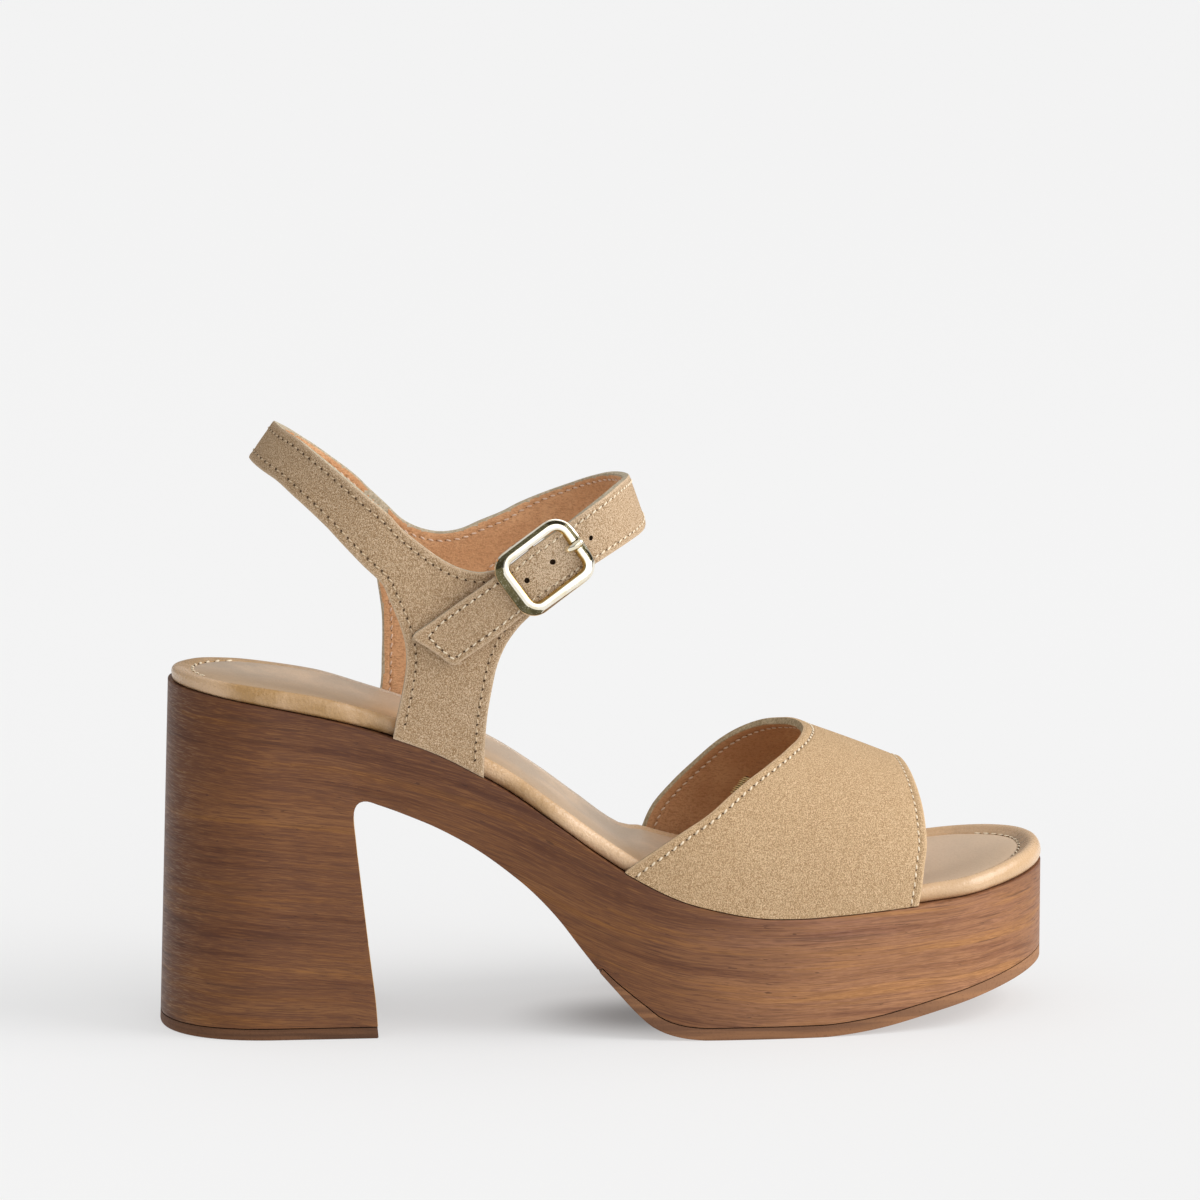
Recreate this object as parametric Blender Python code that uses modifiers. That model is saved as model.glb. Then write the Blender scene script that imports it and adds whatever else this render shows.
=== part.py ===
"""Platform sandal, right foot: wood-look platform and heel, suede vamp and ankle straps, buckle.

The tables are in millimetres and the meshes are made in metres.
+X runs from the heel to the toe, -Y is the outer side of the foot, Z = 0 is the floor.
"""
import bisect
import math

import bmesh
import bpy
from mathutils import Matrix, Vector

OBJECT_NAME = "platform_sandal"
MM = 0.001
GAP = 0.3
SHIFT_X = -0.65
SHIFT_Y = -1.2

# Plan of the platform at its top edge: distance to each side before the ends are rounded.
PLAN_COLUMNS = ("x", "outer", "inner")
PLAN = (
    (-118.0, 27.6, 27.6),
    (-95.0, 27.9, 27.8),
    (-75.0, 28.8, 28.4),
    (-55.0, 29.2, 28.2),
    (-30.0, 31.5, 28.4),
    (-10.0, 35.0, 31.0),
    (5.0, 38.3, 35.0),
    (20.0, 40.5, 40.0),
    (38.0, 41.0, 43.0),
    (55.0, 40.2, 43.0),
    (72.0, 38.0, 41.5),
    (85.0, 35.2, 39.7),
    (95.0, 32.4, 37.7),
    (105.0, 28.8, 35.6),
    (121.8, 23.0, 31.5),
)
PLAN_BACK = -118.0
PLAN_TIP = 121.8
TIP_Y = 5.0
HEEL_ROUND = 30.0
TOE_ROUND = 32.0
ROUND_POWER = 2.2
HEEL_FLARE_BACK = 2.5
HEEL_FLARE_SIDE = 0.025
PLAN_STEPS = 44

# Top edge of the platform, which the footbed follows.
SEAT_COLUMNS = ("x", "z")
SEAT = (
    (-130.0, 94.6),
    (-118.0, 94.0),
    (-110.0, 93.2),
    (-102.0, 91.9),
    (-94.0, 90.5),
    (-83.5, 88.4),
    (-73.0, 86.0),
    (-57.0, 80.9),
    (-46.5, 76.7),
    (-36.0, 71.2),
    (-25.5, 65.0),
    (-15.0, 57.6),
    (-4.5, 49.8),
    (6.0, 43.2),
    (17.0, 37.9),
    (27.5, 34.9),
    (38.0, 32.9),
    (49.0, 32.4),
    (60.0, 32.8),
    (71.0, 33.5),
    (82.5, 34.3),
    (94.0, 35.3),
    (106.0, 36.6),
    (119.0, 38.2),
    (130.0, 39.6),
)

# Underside of the forefoot: the line that touches the floor, then rises to the toe.
TREAD_COLUMNS = ("x", "z")
TREAD = (
    (-4.3, 18.2),
    (0.3, 13.0),
    (4.9, 7.9),
    (9.6, 3.7),
    (15.8, 1.1),
    (24.0, 0.0),
    (34.0, 0.0),
    (45.0, 0.0),
    (56.0, 0.0),
    (66.0, 0.9),
    (75.0, 2.4),
    (92.0, 6.3),
    (110.0, 10.3),
    (118.0, 12.2),
    (130.0, 15.2),
)
TREAD_FLAT = (24.0, 56.0)
OUTSOLE_THICK = 3.2
OUTSOLE_SKIVE = 1.2
OUTSOLE_BACK = -4.3
OUTSOLE_FULL = 8.0

# Underside of the waist, from the outsole back to the breast of the heel, then down the breast.
WAIST_COLUMNS = ("x", "z")
WAIST = (
    (-4.9, 19.1),
    (-9.6, 25.2),
    (-14.8, 32.1),
    (-20.0, 37.9),
    (-25.4, 42.9),
    (-36.0, 50.9),
    (-46.6, 57.0),
    (-57.2, 61.6),
    (-62.8, 63.7),
    (-66.5, 64.8),
    (-68.8, 64.0),
    (-70.0, 61.6),
    (-70.1, 54.4),
    (-68.8, 43.5),
    (-67.2, 32.0),
    (-65.6, 20.0),
    (-64.2, 10.0),
    (-63.3, 0.0),
)
TOP_PIECE_THICK = 3.0

# Footbed: height of its rolled rim, and rings up the side, over the rim and into the recess.
FOOTBED_INSET = 3.0
FOOTBED_END_INSET = 1.4
RIM_COLUMNS = ("x", "height")
RIM = (
    (-118.0, 3.6),
    (-98.0, 4.2),
    (-80.0, 4.9),
    (-60.0, 5.0),
    (-40.0, 5.6),
    (-20.0, 5.8),
    (-5.0, 5.4),
    (10.0, 4.8),
    (30.0, 5.2),
    (60.0, 6.1),
    (98.0, 6.9),
    (122.0, 7.3),
)
FOOTBED_COLUMNS = ("in", "share", "lift")
FOOTBED = (
    (0.5, 0.0, 0.0),
    (0.0, 0.10, 0.0),
    (-0.1, 0.48, 0.0),
    (0.2, 0.71, 0.0),
    (1.1, 0.90, 0.0),
    (2.6, 1.0, 0.0),
    (4.6, 0.98, 0.0),
    (6.2, 0.86, 0.0),
    (7.0, 0.66, 0.0),
)
SOCK_COLUMNS = ("in", "share", "lift")
SOCK = (
    (7.7, 0.66, 0.3),
    (7.5, 0.66, 0.7),
    (8.3, 0.66, 1.1),
)

# Vamp: a wall over an arched section, with a slanting back edge and a nearly square front edge.
WALL_VAMP = 2.2
VAMP_INSET = 0.3
CREST_COLUMNS = ("x", "z")
CREST = (
    (0.0, 99.0),
    (30.0, 87.6),
    (55.3, 78.4),
    (69.3, 73.1),
    (83.2, 67.3),
    (90.0, 64.4),
)
CREST_Y = 3.0
ARCH_POWER = 2.2
VAMP_EDGE_COLUMNS = ("angle", "back_x", "front_x")
VAMP_EDGE = (
    (0.0, 2.2, 81.1),
    (8.0, 9.0, 82.6),
    (17.5, 17.2, 83.8),
    (26.0, 25.0, 84.5),
    (34.5, 31.2, 84.6),
    (42.0, 36.5, 84.5),
    (49.0, 41.4, 84.4),
    (59.0, 47.2, 84.1),
    (73.0, 52.8, 83.6),
    (90.0, 55.3, 83.3),
    (108.0, 52.0, 83.4),
    (118.0, 47.8, 83.8),
    (127.5, 43.2, 84.3),
    (139.0, 37.0, 84.9),
    (151.0, 30.3, 85.5),
    (161.5, 23.3, 86.0),
    (170.0, 17.8, 86.3),
    (180.0, 13.8, 86.4),
)
VAMP_ROUND = 36
VAMP_ALONG = 12

# Ankle ring: straight sides joined by half circles, then the strap goes on over the outer side.
WALL_STRAP = 2.0
RING_BACK = -60.0
RING_FRONT = -22.0
RING_R = 29.5
OVER_START = -12.0
OVER_TIP = RING_FRONT + RING_R
OVER_Y = 34.5
TAIL_Y = 32.2
OVER_TURN = 28.0
LEAN_BACK = 0.7
LEAN_FRONT = 0.355
LEG_BLEND = (70.0, 112.0)

# Edges of the ankle piece: run is the stretch of the ring, at is x on the sides, degrees on the ends.
EDGE_COLUMNS = ("run", "at", "z")
OUTER_LEG_FRONT = (
    ("outer", -34.7, 70.6),
    ("outer", -34.4, 79.0),
    ("outer", -33.8, 87.5),
    ("outer", -32.4, 96.1),
    ("outer", -31.2, 101.5),
    ("outer", -28.9, 106.9),
    ("outer", -25.8, 111.3),
    ("outer", -22.5, 114.6),
    ("outer", -18.0, 118.6),
    ("outer", -13.8, 122.4),
    ("outer", -12.6, 126.0),
    ("outer", -14.4, 130.0),
    ("outer", -18.0, 131.6),
)
TOP_EDGE = (
    ("outer", -18.0, 131.6),
    ("outer", -22.0, 130.4),
    ("outer", -27.0, 127.9),
    ("outer", -32.1, 126.8),
    ("outer", -36.0, 126.4),
    ("outer", -41.1, 127.6),
    ("outer", -45.9, 130.1),
    ("outer", -51.1, 133.9),
    ("outer", -56.0, 138.0),
    ("back", 0.3, 142.5),
    ("back", 12.5, 148.0),
    ("back", 21.3, 151.5),
    ("back", 31.0, 154.8),
    ("back", 45.0, 158.3),
    ("back", 60.0, 160.8),
    ("back", 90.0, 162.4),
    ("back", 118.0, 159.8),
    ("back", 142.0, 154.7),
    ("back", 161.0, 148.5),
    ("back", 172.0, 144.0),
    ("inner", -60.7, 140.4),
    ("inner", -55.8, 135.7),
    ("inner", -51.9, 131.9),
    ("inner", -47.2, 129.4),
    ("inner", -41.7, 128.2),
    ("inner", -36.1, 128.8),
    ("inner", -30.5, 131.1),
    ("inner", -24.2, 133.6),
    ("front", 4.2, 135.9),
    ("front", 16.5, 138.7),
    ("front", 29.3, 141.3),
    ("front", 43.5, 143.9),
    ("front", 61.0, 146.0),
    ("front", 90.0, 147.3),
    ("over", 6.0, 148.4),
    ("over", 1.3, 148.3),
    ("over", -5.0, 145.6),
    ("over", -12.0, 140.7),
    ("over", -22.0, 133.8),
    ("over", -32.6, 125.5),
    ("over", -43.0, 117.9),
    ("over", -51.2, 112.2),
)
TAIL_END = (
    ("over", -51.2, 112.2),
    ("over", -53.6, 110.6),
    ("over", -53.8, 109.5),
    ("over", -50.4, 107.2),
    ("over", -46.4, 104.4),
    ("over", -43.6, 102.4),
    ("over", -42.2, 102.3),
)
LOW_EDGE = (
    ("over", -42.2, 102.3),
    ("over", -33.8, 108.4),
    ("over", -22.8, 117.0),
    ("over", -13.0, 124.1),
    ("over", -4.6, 129.9),
    ("over", 2.0, 133.1),
    ("over", 7.0, 134.4),
    ("front", 90.0, 134.9),
    ("front", 61.0, 133.4),
    ("front", 43.5, 131.2),
    ("front", 29.3, 128.6),
    ("front", 16.5, 125.9),
    ("front", 4.2, 122.6),
    ("inner", -23.0, 119.5),
    ("inner", -27.2, 115.0),
    ("inner", -30.0, 108.8),
    ("inner", -31.4, 101.5),
    ("inner", -32.6, 94.0),
    ("inner", -33.8, 84.0),
    ("inner", -34.7, 70.6),
)
INNER_LEG_BACK = (
    ("inner", -58.9, 81.8),
    ("inner", -58.0, 88.0),
    ("inner", -57.75, 94.0),
    ("inner", -57.5, 100.0),
    ("inner", -57.6, 106.0),
    ("inner", -58.6, 113.6),
    ("back", 180.0, 121.4),
    ("back", 172.0, 128.6),
    ("back", 161.0, 135.6),
    ("back", 148.0, 140.6),
    ("back", 133.0, 145.2),
    ("back", 118.0, 149.4),
    ("back", 90.0, 152.6),
    ("back", 62.0, 149.9),
    ("back", 46.0, 145.1),
    ("back", 32.0, 139.2),
    ("back", 22.3, 133.9),
    ("back", 12.7, 128.6),
    ("back", 3.5, 123.8),
    ("outer", -60.0, 119.7),
    ("outer", -58.0, 114.9),
    ("outer", -56.7, 111.4),
    ("outer", -55.6, 106.8),
    ("outer", -55.4, 101.9),
    ("outer", -56.0, 97.0),
    ("outer", -56.9, 92.0),
    ("outer", -57.9, 87.4),
    ("outer", -58.9, 81.8),
)
EDGE_STEP = 3.2
CELL = 4.0
LEG_CUTS = (78.0, 85.0, 92.0, 99.0, 106.0, 113.0)

# Buckle: its own axes are along the strap, across it and away from the foot.
BUCKLE_AT = (-19.15, 128.55)
BUCKLE_TURN = 36.0
BUCKLE_LONG = 24.6
BUCKLE_WIDE = 19.6
BUCKLE_BAR = 3.1
BUCKLE_THICK = 2.4
BUCKLE_CORNER = 5.6
BUCKLE_BEVEL = 0.6
FRAME_LIFT = OVER_Y + WALL_STRAP + GAP
CENTRE_BAR_R = 0.9
CENTRE_BAR_Y = RING_R + WALL_STRAP + GAP + CENTRE_BAR_R
POST_ACROSS = 8.4
HOLES = (-6.3, 1.8, 7.4, 14.1)
HOLE_ACROSS = -1.0
HOLE_R = 1.0
PRONG_HOLE = 2
PRONG_HOLE_R = 1.6
PRONG_R = 0.7
PRONG_COLUMNS = ("along", "away")
PRONG = (
    (2.0, CENTRE_BAR_Y),
    (5.8, CENTRE_BAR_Y + 0.2),
    (7.0, OVER_Y),
    (7.7, OVER_Y + WALL_STRAP + 0.8),
    (8.6, FRAME_LIFT + BUCKLE_THICK + GAP + 0.75),
    (12.7, FRAME_LIFT + BUCKLE_THICK + GAP + 0.75),
)

MATERIALS = {
    "wood_look": ((0.27, 0.115, 0.055), 0.48, 0.0),
    "outsole_rubber": ((0.20, 0.088, 0.05), 0.6, 0.0),
    "footbed_leather": ((0.60, 0.36, 0.22), 0.45, 0.0),
    "sock_leather": ((0.58, 0.40, 0.28), 0.5, 0.0),
    "suede": ((0.52, 0.37, 0.25), 0.85, 0.0),
    "pale_gold": ((0.86, 0.68, 0.42), 0.16, 1.0),
}


def spline(rows, at, column=1):
    """Smooth value of a table at a place, from slopes between neighbouring rows."""
    keys = [row[0] for row in rows]
    i = min(max(bisect.bisect_right(keys, at) - 1, 0), len(rows) - 2)
    step = keys[i + 1] - keys[i]
    t = min(max((at - keys[i]) / step, 0.0), 1.0)

    def slope(k):
        """Slope at row k."""
        low = max(k - 1, 0)
        high = min(k + 1, len(rows) - 1)
        return (rows[high][column] - rows[low][column]) / (keys[high] - keys[low])

    a = rows[i][column]
    b = rows[i + 1][column]
    m = slope(i) * step
    n = slope(i + 1) * step
    return (
        a * (2 * t**3 - 3 * t**2 + 1)
        + m * (t**3 - 2 * t**2 + t)
        + b * (3 * t**2 - 2 * t**3)
        + n * (t**3 - t**2)
    )


def ease(low, high, at):
    """Smooth step from 0 to 1 between two places."""
    t = min(max((at - low) / (high - low), 0.0), 1.0)
    return t * t * (3.0 - 2.0 * t)


def rounding(distance, length):
    """Share of the full width at a distance from a rounded end."""
    if distance >= length:
        return 1.0
    share = 1.0 - max(distance, 0.0) / length
    return (1.0 - share**ROUND_POWER) ** (1.0 / ROUND_POWER)


def plan_y(x, column):
    """Side of the platform at x: column 1 is the outer side, column 2 the inner one."""
    centre = TIP_Y * ease(60.0, PLAN_TIP, x)
    sign = -1.0 if column == 1 else 1.0
    wide = spline(PLAN, x, column) - sign * centre
    wide *= rounding(x - PLAN_BACK, HEEL_ROUND) * rounding(PLAN_TIP - x, TOE_ROUND)
    return centre + sign * wide


def plan_loop():
    """Points round the platform's plan, from the back along the outer side and back again."""
    middle = (PLAN_BACK + PLAN_TIP) / 2.0
    half = (PLAN_TIP - PLAN_BACK) / 2.0
    stations = [middle - half * math.cos(math.pi * i / PLAN_STEPS) for i in range(PLAN_STEPS + 1)]
    outer = [Vector((x, plan_y(x, 1))) for x in stations]
    inner = [Vector((x, plan_y(x, 2))) for x in stations[-2:0:-1]]
    return outer + inner


def inset_loop(loop, amount):
    """The loop moved inwards by an amount per point."""
    moved = []
    count = len(loop)
    for i, point in enumerate(loop):
        along = (loop[(i + 1) % count] - loop[i - 1]).normalized()
        moved.append(point + Vector((-along.y, along.x)) * amount(point.x))
    return moved


def new_object(name, mesh, material):
    """A mesh object with its own material in the object's collection."""
    body = bpy.data.objects.new(name, mesh)
    parts.objects.link(body)
    colour, rough, metal = MATERIALS[material]
    finish = bpy.data.materials.get(material)
    if finish is None:
        finish = bpy.data.materials.new(material)
        finish.use_nodes = True
        shader = finish.node_tree.nodes["Principled BSDF"]
        shader.inputs["Base Color"].default_value = (*colour, 1.0)
        shader.inputs["Roughness"].default_value = rough
        shader.inputs["Metallic"].default_value = metal
    mesh.materials.clear()
    mesh.materials.append(finish)
    return body


def to_mesh(name, work):
    """A mesh from a bmesh in millimetres, moved so the object's box stands on the origin."""
    bmesh.ops.recalc_face_normals(work, faces=work.faces)
    for vert in work.verts:
        vert.co = (vert.co + Vector((SHIFT_X, SHIFT_Y, 0.0))) * MM
    mesh = bpy.data.meshes.new(name)
    work.to_mesh(mesh)
    work.free()
    return mesh


def strip_cap(work, ring):
    """Faces across a ring that runs out along one side and back along the other."""
    count = len(ring)
    half = count // 2
    work.faces.new((ring[0], ring[1], ring[count - 1]))
    for i in range(1, half - 1):
        work.faces.new((ring[i], ring[i + 1], ring[count - i - 1], ring[count - i]))
    work.faces.new((ring[half - 1], ring[half], ring[half + 1]))


def ring_loft(rings, closed=False):
    """Loft through rings of equal count, capped at both ends unless it closes on itself."""
    work = bmesh.new()
    made = [[work.verts.new(point) for point in ring] for ring in rings]
    pairs = list(zip(made, made[1:]))
    if closed:
        pairs.append((made[-1], made[0]))
    for low, high in pairs:
        count = len(low)
        for i in range(count):
            k = (i + 1) % count
            work.faces.new((low[i], low[k], high[k], high[i]))
    if not closed:
        strip_cap(work, made[0])
        strip_cap(work, made[-1])
    return work


def side_slab(name, outline):
    """A side view outline carried across the whole width."""
    work = bmesh.new()
    base = [work.verts.new((x, -70.0, z)) for x, z in outline]
    face = work.faces.new(base)
    grown = bmesh.ops.extrude_face_region(work, geom=[face])
    lifted = [item for item in grown["geom"] if isinstance(item, bmesh.types.BMVert)]
    bmesh.ops.translate(work, vec=(0.0, 140.0, 0.0), verts=lifted)
    return to_mesh(name, work)


def plan_cutter():
    """Prism of the platform's plan, flared towards the floor round the heel."""
    loop = plan_loop()
    low = []
    for point in loop:
        share = 1.0 - ease(-118.0, -70.0, point.x)
        x = point.x - HEEL_FLARE_BACK * share
        low.append((x, point.y * (1.0 + HEEL_FLARE_SIDE * share), 0.0))
    high = [(point.x, point.y, 92.0) for point in loop]
    rise = 10.0 / 92.0
    below = [tuple(a - (b - a) * rise for a, b in zip(p, q)) for p, q in zip(low, high)]
    above = [tuple(b + (b - a) * rise for a, b in zip(p, q)) for p, q in zip(low, high)]
    cutter = bpy.data.objects.new("plan_cutter", to_mesh("plan_cutter", ring_loft([below, above])))
    cutters.objects.link(cutter)
    cutter.hide_render = True
    cutter.display_type = "WIRE"
    return cutter


def apply_boolean(body, operation, tool):
    """Runs one exact Boolean on a body and keeps the result as its mesh."""
    step = body.modifiers.new(operation.lower(), "BOOLEAN")
    step.operation = operation
    step.solver = "EXACT"
    step.object = tool
    bake(body)


def bake(body):
    """Replaces a body's mesh by what its modifiers make of it."""
    finish = body.data.materials[0]
    graph = bpy.context.evaluated_depsgraph_get()
    mesh = bpy.data.meshes.new_from_object(body.evaluated_get(graph))
    body.modifiers.clear()
    body.data = mesh
    work = bmesh.new()
    work.from_mesh(mesh)
    bmesh.ops.remove_doubles(work, verts=work.verts, dist=0.00002)
    bmesh.ops.dissolve_degenerate(work, edges=work.edges, dist=0.000005)
    work.to_mesh(mesh)
    work.free()
    mesh.materials.clear()
    mesh.materials.append(finish)


def tread_line(offset, stations):
    """Points a distance above the forefoot's underside, square to it."""
    points = []
    for x in stations:
        rise = (spline(TREAD, x + 0.2) - spline(TREAD, x - 0.2)) / 0.4
        if TREAD_FLAT[0] <= x <= TREAD_FLAT[1]:
            rise = 0.0
        share = ease(OUTSOLE_BACK, OUTSOLE_FULL, x)
        thick = offset(share)
        unit = math.hypot(1.0, rise)
        low = 0.0 if TREAD_FLAT[0] <= x <= TREAD_FLAT[1] else spline(TREAD, x)
        points.append((x - thick * rise / unit, low + thick / unit))
    return points


def outsole_thickness(share):
    """Outsole's thickness, skived towards its back end."""
    return OUTSOLE_SKIVE + (OUTSOLE_THICK - OUTSOLE_SKIVE) * share


def platform_parts(cutter):
    """Platform with its heel, the forefoot outsole under it and the heel's top piece."""
    tread_x = [OUTSOLE_BACK + 2.2 * i for i in range(13)] + [24.0, 34.0, 45.0, 56.0]
    tread_x += [60.0 + 5.0 * i for i in range(14)]
    tread_x = sorted(set(tread_x))
    seat_x = [-128.0 + 4.0 * i for i in range(65)]
    top = [(x, spline(SEAT, x)) for x in seat_x]
    wood_low = tread_line(lambda share: outsole_thickness(share) + GAP, tread_x)
    heel = list(WAIST[:-1]) + [(WAIST[-1][0] - 0.2, TOP_PIECE_THICK + GAP)]
    outline = top + wood_low[::-1] + heel + [(-128.0, TOP_PIECE_THICK + GAP)]
    sole = new_object("platform_sole", side_slab("platform_sole", outline), "wood_look")
    apply_boolean(sole, "INTERSECT", cutter)

    under = tread_line(lambda share: 0.0, tread_x)
    over = tread_line(outsole_thickness, tread_x)
    outsole = new_object(
        "forefoot_outsole", side_slab("forefoot_outsole", under + over[::-1]), "outsole_rubber"
    )
    apply_boolean(outsole, "INTERSECT", cutter)

    breast = WAIST[-1][0]
    lift = [(-128.0, 0.0), (breast, 0.0), (breast - 0.3, TOP_PIECE_THICK), (-128.0, TOP_PIECE_THICK)]
    piece = new_object("heel_top_piece", side_slab("heel_top_piece", lift), "outsole_rubber")
    apply_boolean(piece, "INTERSECT", cutter)


def footbed_inset(x):
    """Room left between the platform's edge and the footbed, less at the heel and toe ends."""
    ends = 1.0 - ease(-116.0, -92.0, x) if x < 0.0 else ease(92.0, 116.0, x)
    return FOOTBED_INSET + (FOOTBED_END_INSET - FOOTBED_INSET) * ends


def seat_rings(table):
    """Rings of a padded piece pressed onto the seat: inset from the footbed's edge and height."""
    loop = plan_loop()
    edge = inset_loop(loop, footbed_inset)
    rings = []
    for inset, share, lift in table:
        ring = inset_loop(edge, lambda x, inset=inset: inset)
        rings.append([(p.x, p.y, spline(SEAT, p.x) + GAP + share * spline(RIM, p.x) + lift) for p in ring])
    return rings


def footbed_parts():
    """Footbed with its rolled rim, and the sock panel lying in its recess."""
    bed = to_mesh("footbed", ring_loft(seat_rings(FOOTBED)))
    new_object("footbed", bed, "footbed_leather")
    sock = to_mesh("sock_panel", ring_loft(seat_rings(SOCK)))
    new_object("sock_panel", sock, "sock_leather")


def vamp_point(angle, along):
    """Point of the vamp's outer face: angle round the arch, along from its back to its front edge."""
    back = spline(VAMP_EDGE, angle, 1)
    front = spline(VAMP_EDGE, angle, 2)
    x = back + (front - back) * along
    low = spline(SEAT, x) + GAP
    turn = math.radians(angle)
    reach = abs(math.cos(turn)) ** (2.0 / ARCH_POWER)
    height = max(math.sin(turn), 0.0) ** (2.0 / ARCH_POWER)
    side = plan_y(x, 1) + VAMP_INSET if angle < 90.0 else plan_y(x, 2) - VAMP_INSET
    y = CREST_Y + (side - CREST_Y) * reach
    z = low + (spline(CREST, x) - low) * height
    return Vector((x, y, z))


def vamp_part():
    """Vamp: one arched wall from the outer edge of the platform to the inner one."""
    work = bmesh.new()
    grid = []
    for i in range(VAMP_ROUND + 1):
        angle = 180.0 * i / VAMP_ROUND
        grid.append([work.verts.new(vamp_point(angle, k / VAMP_ALONG)) for k in range(VAMP_ALONG + 1)])
    for i in range(VAMP_ROUND):
        for k in range(VAMP_ALONG):
            work.faces.new((grid[i][k], grid[i][k + 1], grid[i + 1][k + 1], grid[i + 1][k]))
    mesh = to_mesh("vamp", work)
    body = new_object("vamp", mesh, "suede")
    thicken(body, WALL_VAMP, outwards=False)


def thicken(body, wall, outwards):
    """Gives an open face sheet its wall, away from or towards the foot."""
    work = bmesh.new()
    work.from_mesh(body.data)
    centre = sum((v.co for v in work.verts), Vector()) / len(work.verts)
    facing = sum((f.normal.dot(f.calc_center_median() - centre) * f.calc_area() for f in work.faces))
    if facing < 0.0:
        bmesh.ops.reverse_faces(work, faces=work.faces)
    work.to_mesh(body.data)
    work.free()
    step = body.modifiers.new("wall", "SOLIDIFY")
    step.thickness = wall * MM
    step.offset = 1.0 if outwards else -1.0
    step.use_even_offset = True
    bake(body)


def station(run, at):
    """Length along the ankle ring for a place on one of its runs."""
    side = RING_FRONT - RING_BACK
    turn = math.pi * RING_R
    if run == "outer":
        return RING_FRONT - at
    if run == "back":
        return side + turn * at / 180.0
    if run == "inner":
        return side + turn + at - RING_BACK
    tip = 2.0 * side + turn + turn / 2.0
    if run == "front":
        return tip + turn * (at - 90.0) / 180.0
    if at > OVER_START:
        return tip + OVER_TURN * math.acos(min((at - OVER_START) / (OVER_TIP - OVER_START), 1.0))
    return tip + OVER_TURN * math.pi / 2.0 + OVER_START - at


def ring_place(length):
    """Plan position, outward direction and lean of the ankle ring at a length along it."""
    side = RING_FRONT - RING_BACK
    turn = math.pi * RING_R
    if length < side:
        return Vector((RING_FRONT - length, -RING_R)), Vector((0.0, -1.0)), 0.0, 0.0
    if length < side + turn:
        a = (length - side) / RING_R
        out = Vector((-math.sin(a), -math.cos(a)))
        lean = LEAN_BACK * math.sin(a) ** 2
        return Vector((RING_BACK, 0.0)) + out * RING_R, out, lean, 134.0 + 24.5 * math.sin(a)
    if length < 2.0 * side + turn:
        return Vector((RING_BACK + length - side - turn, RING_R)), Vector((0.0, 1.0)), 0.0, 0.0
    tip = 2.0 * side + turn + turn / 2.0
    if length < tip:
        a = (length - 2.0 * side - turn) / RING_R
        out = Vector((math.sin(a), math.cos(a)))
        return Vector((RING_FRONT, 0.0)) + out * RING_R, out, LEAN_FRONT * math.sin(a) ** 2, 141.0
    a = (length - tip) / OVER_TURN
    if a < math.pi / 2.0:
        reach = OVER_TIP - OVER_START
        spot = Vector((OVER_START + reach * math.cos(a), -OVER_Y * math.sin(a)))
        out = Vector((math.cos(a) * OVER_Y, -math.sin(a) * reach)).normalized()
        return spot, out, LEAN_FRONT * math.cos(a) ** 2, 141.0
    x = OVER_START - (length - tip - OVER_TURN * math.pi / 2.0)
    y = OVER_Y + (TAIL_Y - OVER_Y) * (1.0 - ease(-48.0, -29.0, x))
    return Vector((x, -y)), Vector((0.0, -1.0)), 0.0, 0.0


def ankle_point(length, z):
    """Point of the ankle piece's inner face."""
    spot, out, lean, middle = ring_place(length)
    spot = spot - out * lean * (z - middle)
    leg = 1.0 - ease(*LEG_BLEND, z)
    if leg > 0.0 and abs(out.y) > 0.99 and abs(spot.y) < RING_R + 1.0:
        column = 1 if out.y < 0.0 else 2
        foot = plan_y(spot.x, column) - out.y * (GAP + WALL_STRAP)
        spot.y = spot.y + (foot - spot.y) * leg
    return Vector((spot.x, spot.y, z))


def edge_points(rows):
    """A smooth run of points along one edge of the ankle piece, as length and height."""
    knots = [Vector((station(run, at), z)) for run, at, z in rows]
    chord = [0.0]
    for a, b in zip(knots, knots[1:]):
        chord.append(chord[-1] + (b - a).length)
    lengths = [(s, k.x) for s, k in zip(chord, knots)]
    heights = [(s, k.y) for s, k in zip(chord, knots)]
    count = max(int(round(chord[-1] / EDGE_STEP)), 2)
    marks = [chord[-1] * i / count for i in range(count + 1)]
    return [(spline(lengths, s), spline(heights, s)) for s in marks]


def foot_edge(run, first, last):
    """Bottom edge of a leg, following the platform's top edge."""
    points = []
    for i in range(1, 6):
        x = first + (last - first) * i / 6.0
        points.append((station(run, x), spline(SEAT, x) + GAP))
    return points


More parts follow.
